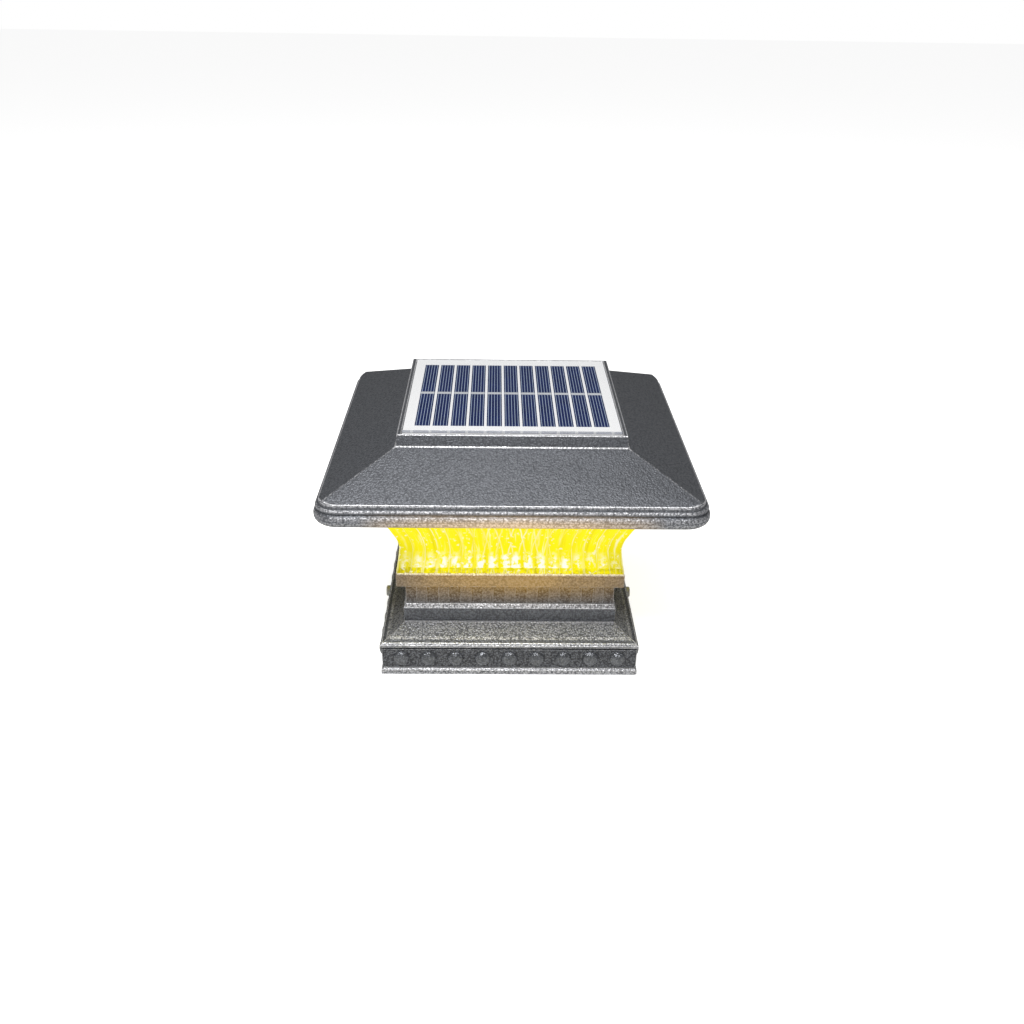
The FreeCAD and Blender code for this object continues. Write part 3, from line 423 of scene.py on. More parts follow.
def pebble_group():
    tree, inside, outside = group(
        "pebble_grain",
        [("Vector", "NodeSocketVector", (0, 0, 0)), ("Scale", "NodeSocketFloat", 900.0)],
        [("Height", "NodeSocketFloat"), ("Speckle", "NodeSocketFloat")],
    )
    warp = add(tree, "ShaderNodeTexNoise")
    warp.inputs["Detail"].default_value = 1.0
    tree.links.new(inside.outputs["Vector"], warp.inputs["Vector"])
    tree.links.new(inside.outputs["Scale"], warp.inputs["Scale"])
    shift = add(tree, "ShaderNodeVectorMath", operation="MULTIPLY_ADD")
    shift.inputs[1].default_value = (GRAIN_WARP, GRAIN_WARP, GRAIN_WARP)
    tree.links.new(warp.outputs["Color"], shift.inputs[0])
    tree.links.new(inside.outputs["Vector"], shift.inputs[2])
    pebbles = add(tree, "ShaderNodeTexVoronoi", feature="SMOOTH_F1")
    pebbles.inputs["Smoothness"].default_value = 0.6
    tree.links.new(shift.outputs[0], pebbles.inputs["Vector"])
    tree.links.new(inside.outputs["Scale"], pebbles.inputs["Scale"])
    fine_scale = math_node(tree, "MULTIPLY", inside.outputs["Scale"], 1.7)
    fine = noise(tree, inside.outputs["Vector"], fine_scale, 3.0)
    domes = math_node(tree, "SUBTRACT", 1.0, pebbles.outputs["Distance"])
    height = math_node(tree, "MULTIPLY_ADD", fine, 0.8, domes)
    speckle = math_node(tree, "MULTIPLY_ADD", height, 2.4, -1.75, clamp=True)
    tree.links.new(height, outside.inputs["Height"])
    tree.links.new(speckle, outside.inputs["Speckle"])
    return tree

# %% [markdown]
# An outdoor lamp is never one even tone. A slow noise mottles it, and a few pale specks of dust lie
# where a face looks up, which the face's normal tells.

# %% Dust and mottling
def mottle_group():
    """Slow variation, and a mask of dust for faces that look up."""
    tree, inside, outside = group(
        "mottle_and_dust",
        [("Vector", "NodeSocketVector", (0, 0, 0)), ("Scale", "NodeSocketFloat", 40.0)],
        [("Mottle", "NodeSocketFloat"), ("Dust", "NodeSocketFloat")],
    )
    slow = noise(tree, inside.outputs["Vector"], inside.outputs["Scale"], 3.0)
    specks = add(tree, "ShaderNodeTexVoronoi", feature="F1")
    tree.links.new(inside.outputs["Vector"], specks.inputs["Vector"])
    specks_scale = math_node(tree, "MULTIPLY", inside.outputs["Scale"], 6.0)
    tree.links.new(specks_scale, specks.inputs["Scale"])
    dots = math_node(tree, "LESS_THAN", specks.outputs["Distance"], 0.05)
    shape = add(tree, "ShaderNodeNewGeometry")
    axes = split(tree, shape.outputs["Normal"])
    upward = math_node(tree, "MULTIPLY_ADD", axes.outputs["Z"], 2.0, -0.6, clamp=True)
    dust = math_node(tree, "MULTIPLY", dots, upward)
    tree.links.new(slow, outside.inputs["Mottle"])
    tree.links.new(dust, outside.inputs["Dust"])
    return tree

# %% [markdown]
# The lit lens throws warm light on the rim above it and on the collar below. Real light does a part
# of that, and this mask gives the rest: it rises between two heights, and fades from the middle of
# a side to its ends.

# %% Lamp glow
def glow_group():
    """The share of warm light on a casting: strongest at one height, and mid-side."""
    tree, inside, outside = group(
        "lamp_glow",
        [("Vector", "NodeSocketVector", (0, 0, 0)), ("From", "NodeSocketFloat", 0.0),
         ("To", "NodeSocketFloat", 0.0), ("Reach", "NodeSocketFloat", 0.05)],
        [("Glow", "NodeSocketFloat")],
    )
    axes = split(tree, inside.outputs["Vector"])
    rise = add(tree, "ShaderNodeMapRange", interpolation_type="SMOOTHSTEP")
    tree.links.new(axes.outputs["Z"], rise.inputs["Value"])
    tree.links.new(inside.outputs["From"], rise.inputs["From Min"])
    tree.links.new(inside.outputs["To"], rise.inputs["From Max"])
    along = math_node(tree, "MINIMUM", math_node(tree, "ABSOLUTE", axes.outputs["X"]),
                      math_node(tree, "ABSOLUTE", axes.outputs["Y"]))
    far = math_node(tree, "DIVIDE", along, inside.outputs["Reach"])
    middle = math_node(tree, "SUBTRACT", 1.0, math_node(tree, "MULTIPLY", far, far), clamp=True)
    patches = noise(tree, inside.outputs["Vector"], 70.0, 3.0)
    uneven = math_node(tree, "MULTIPLY_ADD", patches, 0.8, 0.6)
    even = math_node(tree, "MULTIPLY", rise.outputs["Result"], middle)
    tree.links.new(math_node(tree, "MULTIPLY", even, uneven), outside.inputs["Glow"])
    return tree


PEBBLE = pebble_group()
MOTTLE = mottle_group()
LAMP_GLOW = glow_group()
print("node groups:", [tree.name for tree in (PEBBLE, MOTTLE, LAMP_GLOW)])

# %% [markdown]
# Each material starts from the same few lines: a Principled shader and the piece's own coordinates.
# The values that are the same all over are set on the shader. Only what varies is linked. The faint
# glow of a coat is too weak to be worth sampling as a light, so that is off for all but the lens.

# %% Base for every material
def start(name, rough, metal=0.0, **sockets):
    material = bpy.data.materials.new(name)
    material.use_nodes = True
    material.cycles.emission_sampling = "NONE"
    tree = material.node_tree
    shader = tree.nodes["Principled BSDF"]
    shader.inputs["Roughness"].default_value = rough
    shader.inputs["Metallic"].default_value = metal
    for label, value in sockets.items():
        shader.inputs[label.replace("_", " ")].default_value = value
    place = add(tree, "ShaderNodeTexCoord").outputs["Object"]
    return material, tree, shader, place


def bump(tree, shader, height, strength, distance):
    """Relief from a height. The distance is in millimetres."""
    node = add(tree, "ShaderNodeBump")
    node.inputs["Strength"].default_value = strength
    node.inputs["Distance"].default_value = distance * MM
    tree.links.new(height, node.inputs["Height"])
    tree.links.new(node.outputs["Normal"], shader.inputs["Normal"])


def use(tree, subtree, place, scale):
    """Places a node group and gives it its place and scale."""
    node = add(tree, "ShaderNodeGroup", node_tree=subtree)
    tree.links.new(place, node.inputs["Vector"])
    node.inputs["Scale"].default_value = scale
    return node


def shade(colour, factor):
    """A colour, made darker or paler by a factor."""
    return tuple(c * factor for c in colour[:3]) + (1.0,)

# %% [markdown]
# The two castings have a charcoal powder coat with a fine pebble grain. The grain is bump, because
# its pebbles are under a millimetre, and the colour moves with it a little. Edges have a paler coat on
# the faces that a bevel makes, a painted highlight. Near the lens the coat takes a warm glow from
# the lamp: a faint emission that fades with distance from the lens and towards each corner.

# %% Charcoal castings
CHARCOAL = (0.140, 0.146, 0.160, 1.0)
# pale tint: a painted highlight on edges, beads and ledges, and a paler lip that is partly worn
PAINTED_HIGHLIGHT_AND_WEAR = (0.70, 0.70, 0.72, 1.0)
# painted shade: darkens the recessed bands under the ledge and under the collar
PAINTED_SHADE = (0.030, 0.030, 0.034, 1.0)
DUST = (0.80, 0.80, 0.78, 1.0)
GOLDEN = (0.40, 0.21, 0.0, 1.0)
PEACH = (0.46, 0.29, 0.11, 1.0)
CREAM = (1.0, 0.88, 0.55, 1.0)


def level_mask(tree, z, low, high):
    """1 between two heights, and 0 above and below them."""
    return math_node(tree, "COMPARE", z, (low + high) / 2 * MM, (high - low) / 2 * MM)


def casting(name, tint, glow, bands=(), lit_line=None, rough=0.46, contrast=0.3):
    """A coat. The glow is (from, to, reach, strength, colour) and a band (low, high, share, colour).

    Painted highlights and worn spots show on top of the pebbles, and painted shade lies between them.
    """
    glow_from, glow_to, glow_reach, glow_strength, glow_colour = glow
    material, tree, shader, place = start(name, rough, metal=0.6)
    axes = split(tree, place)
    grain = use(tree, PEBBLE, place, 1250.0)
    mottle = use(tree, MOTTLE, place, 40.0)
    speckle = grain.outputs["Speckle"]
    mottled = math_node(tree, "MULTIPLY", mottle.outputs["Mottle"], 0.3)
    dusty = math_node(tree, "MULTIPLY", mottle.outputs["Dust"], 0.35)
    coat = mix_colour(tree, speckle, shade(tint, 1 - contrast), shade(tint, 1 + contrast))
    coat = mix_colour(tree, mottled, coat, shade(tint, 1.1))
    coat = mix_colour(tree, dusty, coat, DUST)
    for low, high, share, colour in bands:
        inside = level_mask(tree, axes.outputs["Z"], low, high)
        # painted shade darkens the hollows between the pebbles; painted highlights and worn spots
        # lighten their tops
        slope, least = (-1.8, 1.9) if colour == PAINTED_SHADE else (1.5, 0.2)
        wear_and_painted_light = math_node(tree, "MULTIPLY_ADD", speckle, slope * share, least * share, clamp=True)
        coat = mix_colour(tree, math_node(tree, "MULTIPLY", inside, wear_and_painted_light), coat, colour)
    tree.links.new(coat, shader.inputs["Base Color"])
    shine = math_node(tree, "MULTIPLY_ADD", speckle, -0.12, rough + 0.06)
    tree.links.new(shine, shader.inputs["Roughness"])
    bump(tree, shader, grain.outputs["Height"], 0.9, 0.22)
    lamp = add(tree, "ShaderNodeGroup", node_tree=LAMP_GLOW)
    tree.links.new(place, lamp.inputs["Vector"])
    for label, value in (("From", glow_from), ("To", glow_to), ("Reach", glow_reach)):
        lamp.inputs[label].default_value = value * MM
    lively = math_node(tree, "MULTIPLY", lamp.outputs["Glow"],
                       math_node(tree, "MULTIPLY_ADD", speckle, 0.4, 0.8))
    warm = mix_colour(tree, lively, (0, 0, 0, 1), glow_colour)
    if lit_line:
        line = math_node(tree, "MULTIPLY", level_mask(tree, axes.outputs["Z"], *lit_line), 0.6)
        warm = mix_colour(tree, line, warm, CREAM)
    tree.links.new(warm, shader.inputs["Emission Color"])
    shader.inputs["Emission Strength"].default_value = glow_strength
    return material

# %% [markdown]
# The lens is fluted clear plastic that is flooded with yellow light from a row of lights at its
# foot. Its flutes are modelled. The material adds what the eye sees in it: a broken hot spot low in
# each flute, fine lines that lean both ways and cross in the middle, and darker corners. The
# pattern follows each point's share of the way to a corner, so it fans out as the flutes do.

# %% Masks for the lens
FLUTES = 18
LENS_RISE = (LENS_HIGH.z - LENS_LOW.z) / MM
LINE_SHARP = 13.0
CROSSING_AT = 0.42
BEADS_TOP = 0.06
BURSTS_FROM = 0.065


def ridge(tree, value, sharp):
    """1 where the value is a whole number, falling to 0 on both sides."""
    nearest = math_node(tree, "ROUND", value)
    off = math_node(tree, "ABSOLUTE", math_node(tree, "SUBTRACT", value, nearest))
    return math_node(tree, "SUBTRACT", 1.0, math_node(tree, "MULTIPLY", off, sharp), clamp=True)


def band(tree, value, centre, reach):
    """1 at the centre, falling to 0 at the reach on both sides."""
    off = math_node(tree, "ABSOLUTE", math_node(tree, "SUBTRACT", value, centre))
    return math_node(tree, "SUBTRACT", 1.0, math_node(tree, "DIVIDE", off, reach), clamp=True)


def crossing_lines(tree, wavy, high, share):
    """A lattice of leaning lines mid-side, and upright lines nearer the corners."""
    above = math_node(tree, "SUBTRACT", high, CROSSING_AT)
    lean = math_node(tree, "MULTIPLY", above, 1.5)
    right = ridge(tree, math_node(tree, "ADD", wavy, lean), LINE_SHARP)
    left = ridge(tree, math_node(tree, "SUBTRACT", wavy, lean), LINE_SHARP)
    leaning = math_node(tree, "MAXIMUM", right, left)
    lattice = math_node(tree, "MULTIPLY", leaning, band(tree, share, 0.0, 0.6))
    upright = math_node(tree, "MULTIPLY", ridge(tree, wavy, LINE_SHARP), band(tree, share, 0.7, 0.5))
    return math_node(tree, "MAXIMUM", lattice, upright)


def hot_bursts(tree, place, wavy, high, share):
    """A broken burst of light low in each flute, weaker towards the corners."""
    centred = math_node(tree, "ADD", wavy, 0.5)
    above = math_node(tree, "GREATER_THAN", high, BURSTS_FROM)
    rising = math_node(tree, "MULTIPLY", above, band(tree, high, BURSTS_FROM, 0.20))
    bursts = math_node(tree, "MULTIPLY", ridge(tree, centred, 2.3), rising)
    bits = noise(tree, place, 480.0, 3.0, 0.6)
    broken = math_node(tree, "MULTIPLY_ADD", bits, 6.0, -2.6, clamp=True)
    fading = math_node(tree, "MULTIPLY", math_node(tree, "SUBTRACT", 1.25, share), 3.4)
    return math_node(tree, "MULTIPLY", math_node(tree, "MULTIPLY", bursts, broken), fading, clamp=True)


def streak_noise(tree, flute, high):
    """Noise that is drawn out upwards, along the flutes."""
    fan = add(tree, "ShaderNodeCombineXYZ")
    tree.links.new(flute, fan.inputs["X"])
    tree.links.new(math_node(tree, "MULTIPLY", high, 0.5), fan.inputs["Y"])
    return noise(tree, fan.outputs[0], 3.2, 4.0, 0.6)

# %% Glowing lens
YELLOW = (1.0, 0.89, 0.0, 1.0)
OLIVE = (0.50, 0.42, 0.0, 1.0)
HOT = (1.0, 1.0, 0.88, 1.0)
LIT_PLASTIC = (0.10, 0.07, 0.0, 1.0)
DIM_PLASTIC = (0.05, 0.04, 0.0, 1.0)


def glowing_lens():
    material, tree, shader, place = start("lens_glow", 0.25, Specular_IOR_Level=0.15)
    material.cycles.emission_sampling = "AUTO"
    axes = split(tree, place)
    side_x = math_node(tree, "ABSOLUTE", axes.outputs["X"])
    side_y = math_node(tree, "ABSOLUTE", axes.outputs["Y"])
    share = math_node(tree, "DIVIDE", math_node(tree, "MINIMUM", side_x, side_y),
                      math_node(tree, "MAXIMUM", side_x, side_y))
    flute = math_node(tree, "MULTIPLY", share, FLUTES / 2)
    height = math_node(tree, "SUBTRACT", axes.outputs["Z"], DECK_Z * MM)
    high = math_node(tree, "DIVIDE", height, LENS_RISE * MM)
    waver = noise(tree, place, 220.0, 2.0)
    wavy = math_node(tree, "MULTIPLY_ADD", waver, 0.18, flute)
    patchy = math_node(tree, "MULTIPLY_ADD", noise(tree, place, 160.0, 3.0), 2.6, -0.75, clamp=True)
    streaks = streak_noise(tree, flute, high)

    pale = math_node(tree, "MULTIPLY_ADD", streaks, 7.0, -3.8, clamp=True)
    lines = math_node(tree, "MULTIPLY", crossing_lines(tree, wavy, high, share), 0.9)
    traced = math_node(tree, "MAXIMUM", lines, math_node(tree, "MULTIPLY", pale, 0.65))
    traced = math_node(tree, "MULTIPLY", traced, patchy)
    sparkle = math_node(tree, "MULTIPLY_ADD", noise(tree, place, 620.0, 1.0), 9.0, -5.7, clamp=True)
    bright = math_node(tree, "MAXIMUM", hot_bursts(tree, place, wavy, high, share), traced)
    bright = math_node(tree, "MAXIMUM", bright, math_node(tree, "MULTIPLY", sparkle, 0.6))

    dark = math_node(tree, "MULTIPLY_ADD", streaks, -6.0, 2.6, clamp=True)
    low = math_node(tree, "LESS_THAN", high, BEADS_TOP)
    grains = math_node(tree, "MULTIPLY_ADD", noise(tree, place, 650.0, 1.0), 4.0, -1.5, clamp=True)
    beads = math_node(tree, "MULTIPLY", math_node(tree, "MULTIPLY", low, grains), 0.5)
    valley = math_node(tree, "MULTIPLY_ADD", ridge(tree, flute, 3.0), 0.16,
                       math_node(tree, "MULTIPLY", dark, 0.4))
    corner = math_node(tree, "MULTIPLY", band(tree, share, 1.0, 0.22), band(tree, high, 0.05, 0.5))
    shaded = math_node(tree, "MULTIPLY_ADD", corner, 0.7, valley)
    dim = math_node(tree, "ADD", beads, shaded, clamp=True)

    body = mix_colour(tree, dim, YELLOW, OLIVE)
    tree.links.new(mix_colour(tree, bright, body, HOT), shader.inputs["Emission Color"])
    shader.inputs["Emission Strength"].default_value = 0.98
    tree.links.new(mix_colour(tree, dim, LIT_PLASTIC, DIM_PLASTIC), shader.inputs["Base Color"])
    rills = math_node(tree, "ADD", waver, ridge(tree, flute, 2.0))
    bump(tree, shader, rills, 0.4, 0.3)
    return material

# %% [markdown]
# A silicon cell is a deep blue wafer, with silver fingers printed along it. The fingers are far
# too fine to model, so they are stripes in the material, at an even pitch across each cell. A
# stripe is where the distance from the nearest finger's middle is close to none.

# %% Silicon cells
FINGERS = 5
DEEP_BLUE = (0.001, 0.006, 0.045, 1.0)
SOFT_BLUE = (0.005, 0.018, 0.110, 1.0)
SILVER = (0.70, 0.84, 1.0, 1.0)


def from_a_cell(tree, axes):
    """How far a point lies from the middle of the nearest cell, as a share of the cells' pitch."""
    middle = CELL_LOW.x + 0.5 * CELL_WIDTH * MM
    along = math_node(tree, "SUBTRACT", axes.outputs["X"], middle)
    cells = math_node(tree, "DIVIDE", along, NEXT_CELL * MM)
    return math_node(tree, "SUBTRACT", cells, math_node(tree, "ROUND", cells))


def silicon():
    material, tree, shader, place = start("silicon_cell", 0.3, Specular_IOR_Level=0.12)
    finger_pitch = CELL_WIDTH / NEXT_CELL / FINGERS
    steps = math_node(tree, "DIVIDE", from_a_cell(tree, split(tree, place)), finger_pitch)
    nearest = math_node(tree, "ROUND", steps)
    near = math_node(tree, "ABSOLUTE", math_node(tree, "SUBTRACT", steps, nearest))
    line = math_node(tree, "MULTIPLY_ADD", near, -14.0, 1.3, clamp=True)
    blue = mix_colour(tree, noise(tree, place, 150.0, 2.0), DEEP_BLUE, SOFT_BLUE)
    printed = mix_colour(tree, math_node(tree, "MULTIPLY", line, 0.85), blue, SILVER)
    tree.links.new(printed, shader.inputs["Base Color"])
    return material

# %% [markdown]
# Behind the cells lies a white sheet, and over them a clear cover of cast resin. From in front the
# cover's narrow edge shows the cells a second time, as a broken band: that reflection is painted on
# the edge. Elsewhere it is all but clear, so its Alpha is near 0 and only that painted edge is drawn.

# %% Backsheet and clear cover
REFLECTION_GREY = (0.45, 0.47, 0.50, 1.0)
REFLECTED_CELL_BLUE = (0.05, 0.07, 0.16, 1.0)


def backsheet():
    material, tree, shader, place = start("white_backsheet", 0.35)
    cloudy = mix_colour(tree, noise(tree, place, 90.0), (0.95, 0.955, 0.96, 1), (0.98, 0.98, 0.98, 1))
    tree.links.new(cloudy, shader.inputs["Base Color"])
    return material


def clear_cover():
    material, tree, shader, place = start("clear_cover", 0.08)
    axes = split(tree, place)
    shape = add(tree, "ShaderNodeNewGeometry")
    facing = split(tree, shape.outputs["Normal"])
    upward = math_node(tree, "ABSOLUTE", facing.outputs["Z"])
    upright = math_node(tree, "LESS_THAN", upward, 0.6)
    at_front = math_node(tree, "LESS_THAN", axes.outputs["Y"], COVER_LOW.y + 0.3 * MM)
    edge = math_node(tree, "MULTIPLY", upright, at_front)
    # painted reflection of the cells on the cover's front edge
    over_a_cell = math_node(tree, "ABSOLUTE", from_a_cell(tree, axes))
    cells = math_node(tree, "LESS_THAN", over_a_cell, 0.42)
    uneven = math_node(tree, "MULTIPLY_ADD", noise(tree, place, 300.0), 0.5, 0.3)
    seen = math_node(tree, "MULTIPLY", cells, uneven)
    tree.links.new(mix_colour(tree, seen, REFLECTION_GREY, REFLECTED_CELL_BLUE), shader.inputs["Base Color"])
    tree.links.new(math_node(tree, "MULTIPLY_ADD", edge, 0.72, 0.02), shader.inputs["Alpha"])
    return material

# %% [markdown]
# The rest are everyday finishes: moulded plastic, rubber, foam, plated metal and lacquered boards.
# They differ in colour, shine and size of grain, so one function makes them all. The small lights
# on the board glow by themselves.

# %% Plain finishes
def plain(name, colour, rough, metal=0.0, spread=0.12, scale=300.0, depth=0.05):
    """A moulded, plated or rubber finish: a colour with slight variation and a fine surface."""
    material, tree, shader, place = start(name, rough, metal)
    grain = noise(tree, place, scale, 3.0)
    tone = mix_colour(tree, grain, shade(colour, 1 - spread), shade(colour, 1 + spread))
    tree.links.new(tone, shader.inputs["Base Color"])
    shine = math_node(tree, "MULTIPLY_ADD", grain, 0.16, rough - 0.08)
    tree.links.new(shine, shader.inputs["Roughness"])
    bump(tree, shader, grain, 0.3, depth)
    return material


def lit_light():
    material, tree, shader, place = start("lit_light", 0.3)
    amber = mix_colour(tree, noise(tree, place, 800.0), (1, 0.7, 0.05, 1), (1, 0.85, 0.2, 1))
    tree.links.new(amber, shader.inputs["Emission Color"])
    shader.inputs["Emission Strength"].default_value = 2.0
    shader.inputs["Base Color"].default_value = (0.9, 0.8, 0.3, 1)
    return material

# %% [markdown]
# Now the finishes are made. The coats are painted paler along the beads and ledges, a painted
# highlight, and the lip is paler, partly worn and partly painted highlight; painted shade darkens the
# band between the studs and the toothed band. Each band is a pair of heights with a share and a colour.

# %% Coats of the castings
CROWN_GLOW = (CROWN_Z + 7.5, CROWN_Z + 1.5, 58.0, 1.2, PEACH)
BASE_GLOW = (27.0, DECK_Z - 2.0, 62.0, 0.85, GOLDEN)
NO_GLOW = (-20.0, -10.0, 1.0, 0.0, GOLDEN)
# Painted highlights: pale bands along the crests of the rim's beads and the edge of the roof's foot.
PAINTED_HIGHLIGHTS_ON_CROWN = (
    (CROWN_Z + 1.2, CROWN_Z + 2.8, 0.25, PAINTED_HIGHLIGHT_AND_WEAR), (CROWN_Z + 3.2, CROWN_Z + 4.9, 0.30, PAINTED_HIGHLIGHT_AND_WEAR),
    (CROWN_Z + 6.5, CROWN_Z + 7.4, 0.40, PAINTED_HIGHLIGHT_AND_WEAR),
    (SLOPE_Z - 0.9, SLOPE_Z - 0.1, 0.5, PAINTED_HIGHLIGHT_AND_WEAR))
HIPS_ON_CROWN = (
    (SLOPE_Z + 0.6, BLOCK_Z - 0.5, 1.0, CHARCOAL), (BLOCK_Z + 0.5, BLOCK_TOP - 0.5, 1.0, CHARCOAL))
# Bands on the base: painted highlights on the ledge, slope, step and collar top, a paler lip that is
# partly worn and partly painted highlight, and painted shade on the stud band and the toothed band.
HIGHLIGHT_SHADE_AND_WEAR_ON_BASE = (
    (0.0, LIP_TOP + 0.1, 0.45, PAINTED_HIGHLIGHT_AND_WEAR), (LIP_TOP + 0.6, LEDGE_Z - 0.9, 0.38, PAINTED_SHADE),
    (LEDGE_TOP - 0.7, LEDGE_TOP, 0.4, PAINTED_HIGHLIGHT_AND_WEAR), (FOOT_Z - 0.3, FOOT_Z + 0.4, 0.5, PAINTED_HIGHLIGHT_AND_WEAR),
    (FOOT_Z + 0.4, STEP_Z - 0.2, 0.2, PAINTED_HIGHLIGHT_AND_WEAR), (STEP_TOP - 0.4, DENTIL_Z + 0.1, 0.5, PAINTED_HIGHLIGHT_AND_WEAR),
    (DENTIL_Z + 0.8, COLLAR_Z, 0.3, PAINTED_SHADE),
    (DECK_Z - 0.9, DECK_Z + 0.1, 0.9, PAINTED_HIGHLIGHT_AND_WEAR))
HIPS_ON_BASE = (
    (LIP_TOP + 0.4, LEDGE_Z - 0.7, 1.0, CHARCOAL), (FOOT_Z + 0.5, STEP_Z - 0.4, 0.9, CHARCOAL),
    (STEP_Z + 0.2, STEP_TOP - 0.5, 1.0, CHARCOAL), (DENTIL_Z + 0.3, DECK_Z - 1.0, 1.0, CHARCOAL))
CROWN_COAT = casting("charcoal_crown", CHARCOAL, CROWN_GLOW, PAINTED_HIGHLIGHTS_ON_CROWN)
# The edge coats are a painted highlight: a pale tint on the faces that a bevel makes.
CROWN_EDGE_HIGHLIGHT = casting("crown_edge_highlight", PAINTED_HIGHLIGHT_AND_WEAR, CROWN_GLOW, HIPS_ON_CROWN, rough=0.36)
LIT_LINE = (DECK_Z - 0.9, DECK_Z - 0.3)
BASE_COAT = casting("charcoal_base", CHARCOAL, BASE_GLOW, HIGHLIGHT_SHADE_AND_WEAR_ON_BASE, LIT_LINE, contrast=0.36)
BASE_EDGE_HIGHLIGHT = casting("base_edge_highlight", PAINTED_HIGHLIGHT_AND_WEAR, BASE_GLOW, HIPS_ON_BASE, rough=0.36)
TOOTH_COAT = casting("charcoal_teeth", CHARCOAL, BASE_GLOW, contrast=0.4)
# The teeth's bevel faces are tinted paler too, as a painted highlight.
TOOTH_EDGE_HIGHLIGHT = casting("tooth_edge_highlight", shade(CHARCOAL, 2.0), BASE_GLOW, rough=0.36)
STUD_COAT = casting("charcoal_studs", CHARCOAL, NO_GLOW, rough=0.24, contrast=0.4)
print("coats of the castings are made")

# %% A finish for each material slot
FINISH = {
    "cast_shell": BASE_COAT,
    "crown_plate": plain("black_plate", (0.03, 0.03, 0.032), 0.6),
    "lens_amber": glowing_lens(),
    "steel_screw": plain("zinc_screw", (0.80, 0.80, 0.79), 0.42, 0.3),
    "seal_rubber": plain("black_seal", (0.02, 0.02, 0.02), 0.7),
    "foam_pad": plain("foam_pad", (0.06, 0.06, 0.06), 0.9, scale=900.0),
    "white_plastic": plain("white_moulding", (0.80, 0.80, 0.77), 0.35, spread=0.03),
    "white_board": plain("white_board", (0.82, 0.82, 0.79), 0.4, spread=0.03),
    "light_yellow": lit_light(),
    "backsheet_white": backsheet(),
    "clear_resin": clear_cover(),
    "silver_ribbon": plain("tinned_ribbon", (0.66, 0.68, 0.71), 0.45, 0.2),
    "silicon_blue": silicon(),
    "black_plastic": plain("black_moulding", (0.022, 0.022, 0.024), 0.5, scale=700.0),
    "switch_white": plain("switch_white", (0.75, 0.75, 0.72), 0.4, spread=0.04),
    "battery_sleeve": plain("battery_sleeve", (0.02, 0.16, 0.07), 0.3, spread=0.06),
    "plated_contact": plain("nickel_contact", (0.66, 0.65, 0.62), 0.22, 1.0),
    "green_board": plain("green_board", (0.01, 0.13, 0.04), 0.35, scale=500.0),
    "chip_black": plain("chip_black", (0.012, 0.012, 0.013), 0.45),
    "ferrite": plain("ferrite", (0.05, 0.048, 0.045), 0.6),
    "capacitor_sleeve": plain("capacitor_sleeve", (0.015, 0.02, 0.09), 0.3),
    "lead_red": plain("lead_red", (0.5, 0.015, 0.01), 0.4),
    "lead_black": plain("lead_black", (0.015, 0.015, 0.015), 0.4),
}

# %% [markdown]
# Every node of the frame says which finish it wears, so a loop dresses them all. Modelled pieces
# are dressed the same way, and the castings take two coats: one for their faces, and a paler one,
# a painted highlight, for the narrow faces that a bevel makes.

# %% Dress every piece
def dress(piece, material):
    """Gives a piece one material, and takes any others away."""
    piece.data.materials.clear()
    piece.data.materials.append(material)


for row in frame["record"]["subparts"]:
    dress(frame["nodes"][row["node"]], FINISH[row["material_slot"]])
dress(frame["nodes"]["crown_shell"], CROWN_COAT)


def coated(piece, coat, edge):
    """Gives a piece its coat, and the paler coat of painted highlight for the faces that a bevel makes.
    """
    dress(piece, coat)
    piece.data.materials.append(edge)
    return piece


def stands_for(piece, node, body="lamp"):
    """A modelled piece shows in place of a node of the frame, and rides on the node's body."""
    smooth(piece)
    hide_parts(node)
    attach(piece, body)

# %% [markdown]
# The crown is one casting. Its rim is a moulding: a section with a large bead and a small one,
# drawn once, run along each side and spun round each corner, as a plasterer runs a cornice. The
# hipped roof is a square that is pushed up and drawn in. Where the roof meets the rounded corners
# it is trimmed by a rounded block, and the shallow seat for the panel is inset into its top.

# %% Crown rim and roof
TRAY_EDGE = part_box("crown_tray")[1].x / MM + 0.3
TRAY_TOP = 85.5
ROOF_OVERHANG = 1.2
PANEL_SEAT = 0.25


def crown_rim():
    return moulding("crown_casting", outline([
        (TRAY_EDGE, CROWN_Z + 0.1),
        (CROWN_HALF - 2.6, CROWN_Z),
        # the large bead
        ((CROWN_HALF - 0.35, CROWN_Z + 1.3), (CROWN_HALF, CROWN_Z + 3.0)),
        ((CROWN_HALF - 0.3, CROWN_Z + 4.5), (CROWN_HALF - 1.3, CROWN_Z + 5.4)),
        # the small bead
        ((CROWN_HALF - 0.75, CROWN_Z + 6.4), (CROWN_HALF - 1.5, CROWN_Z + 7.4)),
        # the foot of the roof
        (SLOPE_HALF - 0.5, SLOPE_Z - 1.4),
        (SLOPE_HALF - 0.5, SLOPE_Z - 0.9),
        ((SLOPE_HALF - 0.15, SLOPE_Z - 0.65), (SLOPE_HALF, SLOPE_Z - 0.3)),
        (SLOPE_HALF, SLOPE_Z - 0.1),
        (CORNER_CORE + 2.0, SLOPE_Z - 0.1),
        (CORNER_CORE + 2.0, TRAY_TOP),
        (TRAY_EDGE, TRAY_TOP),
    ]), CORNER_CORE)


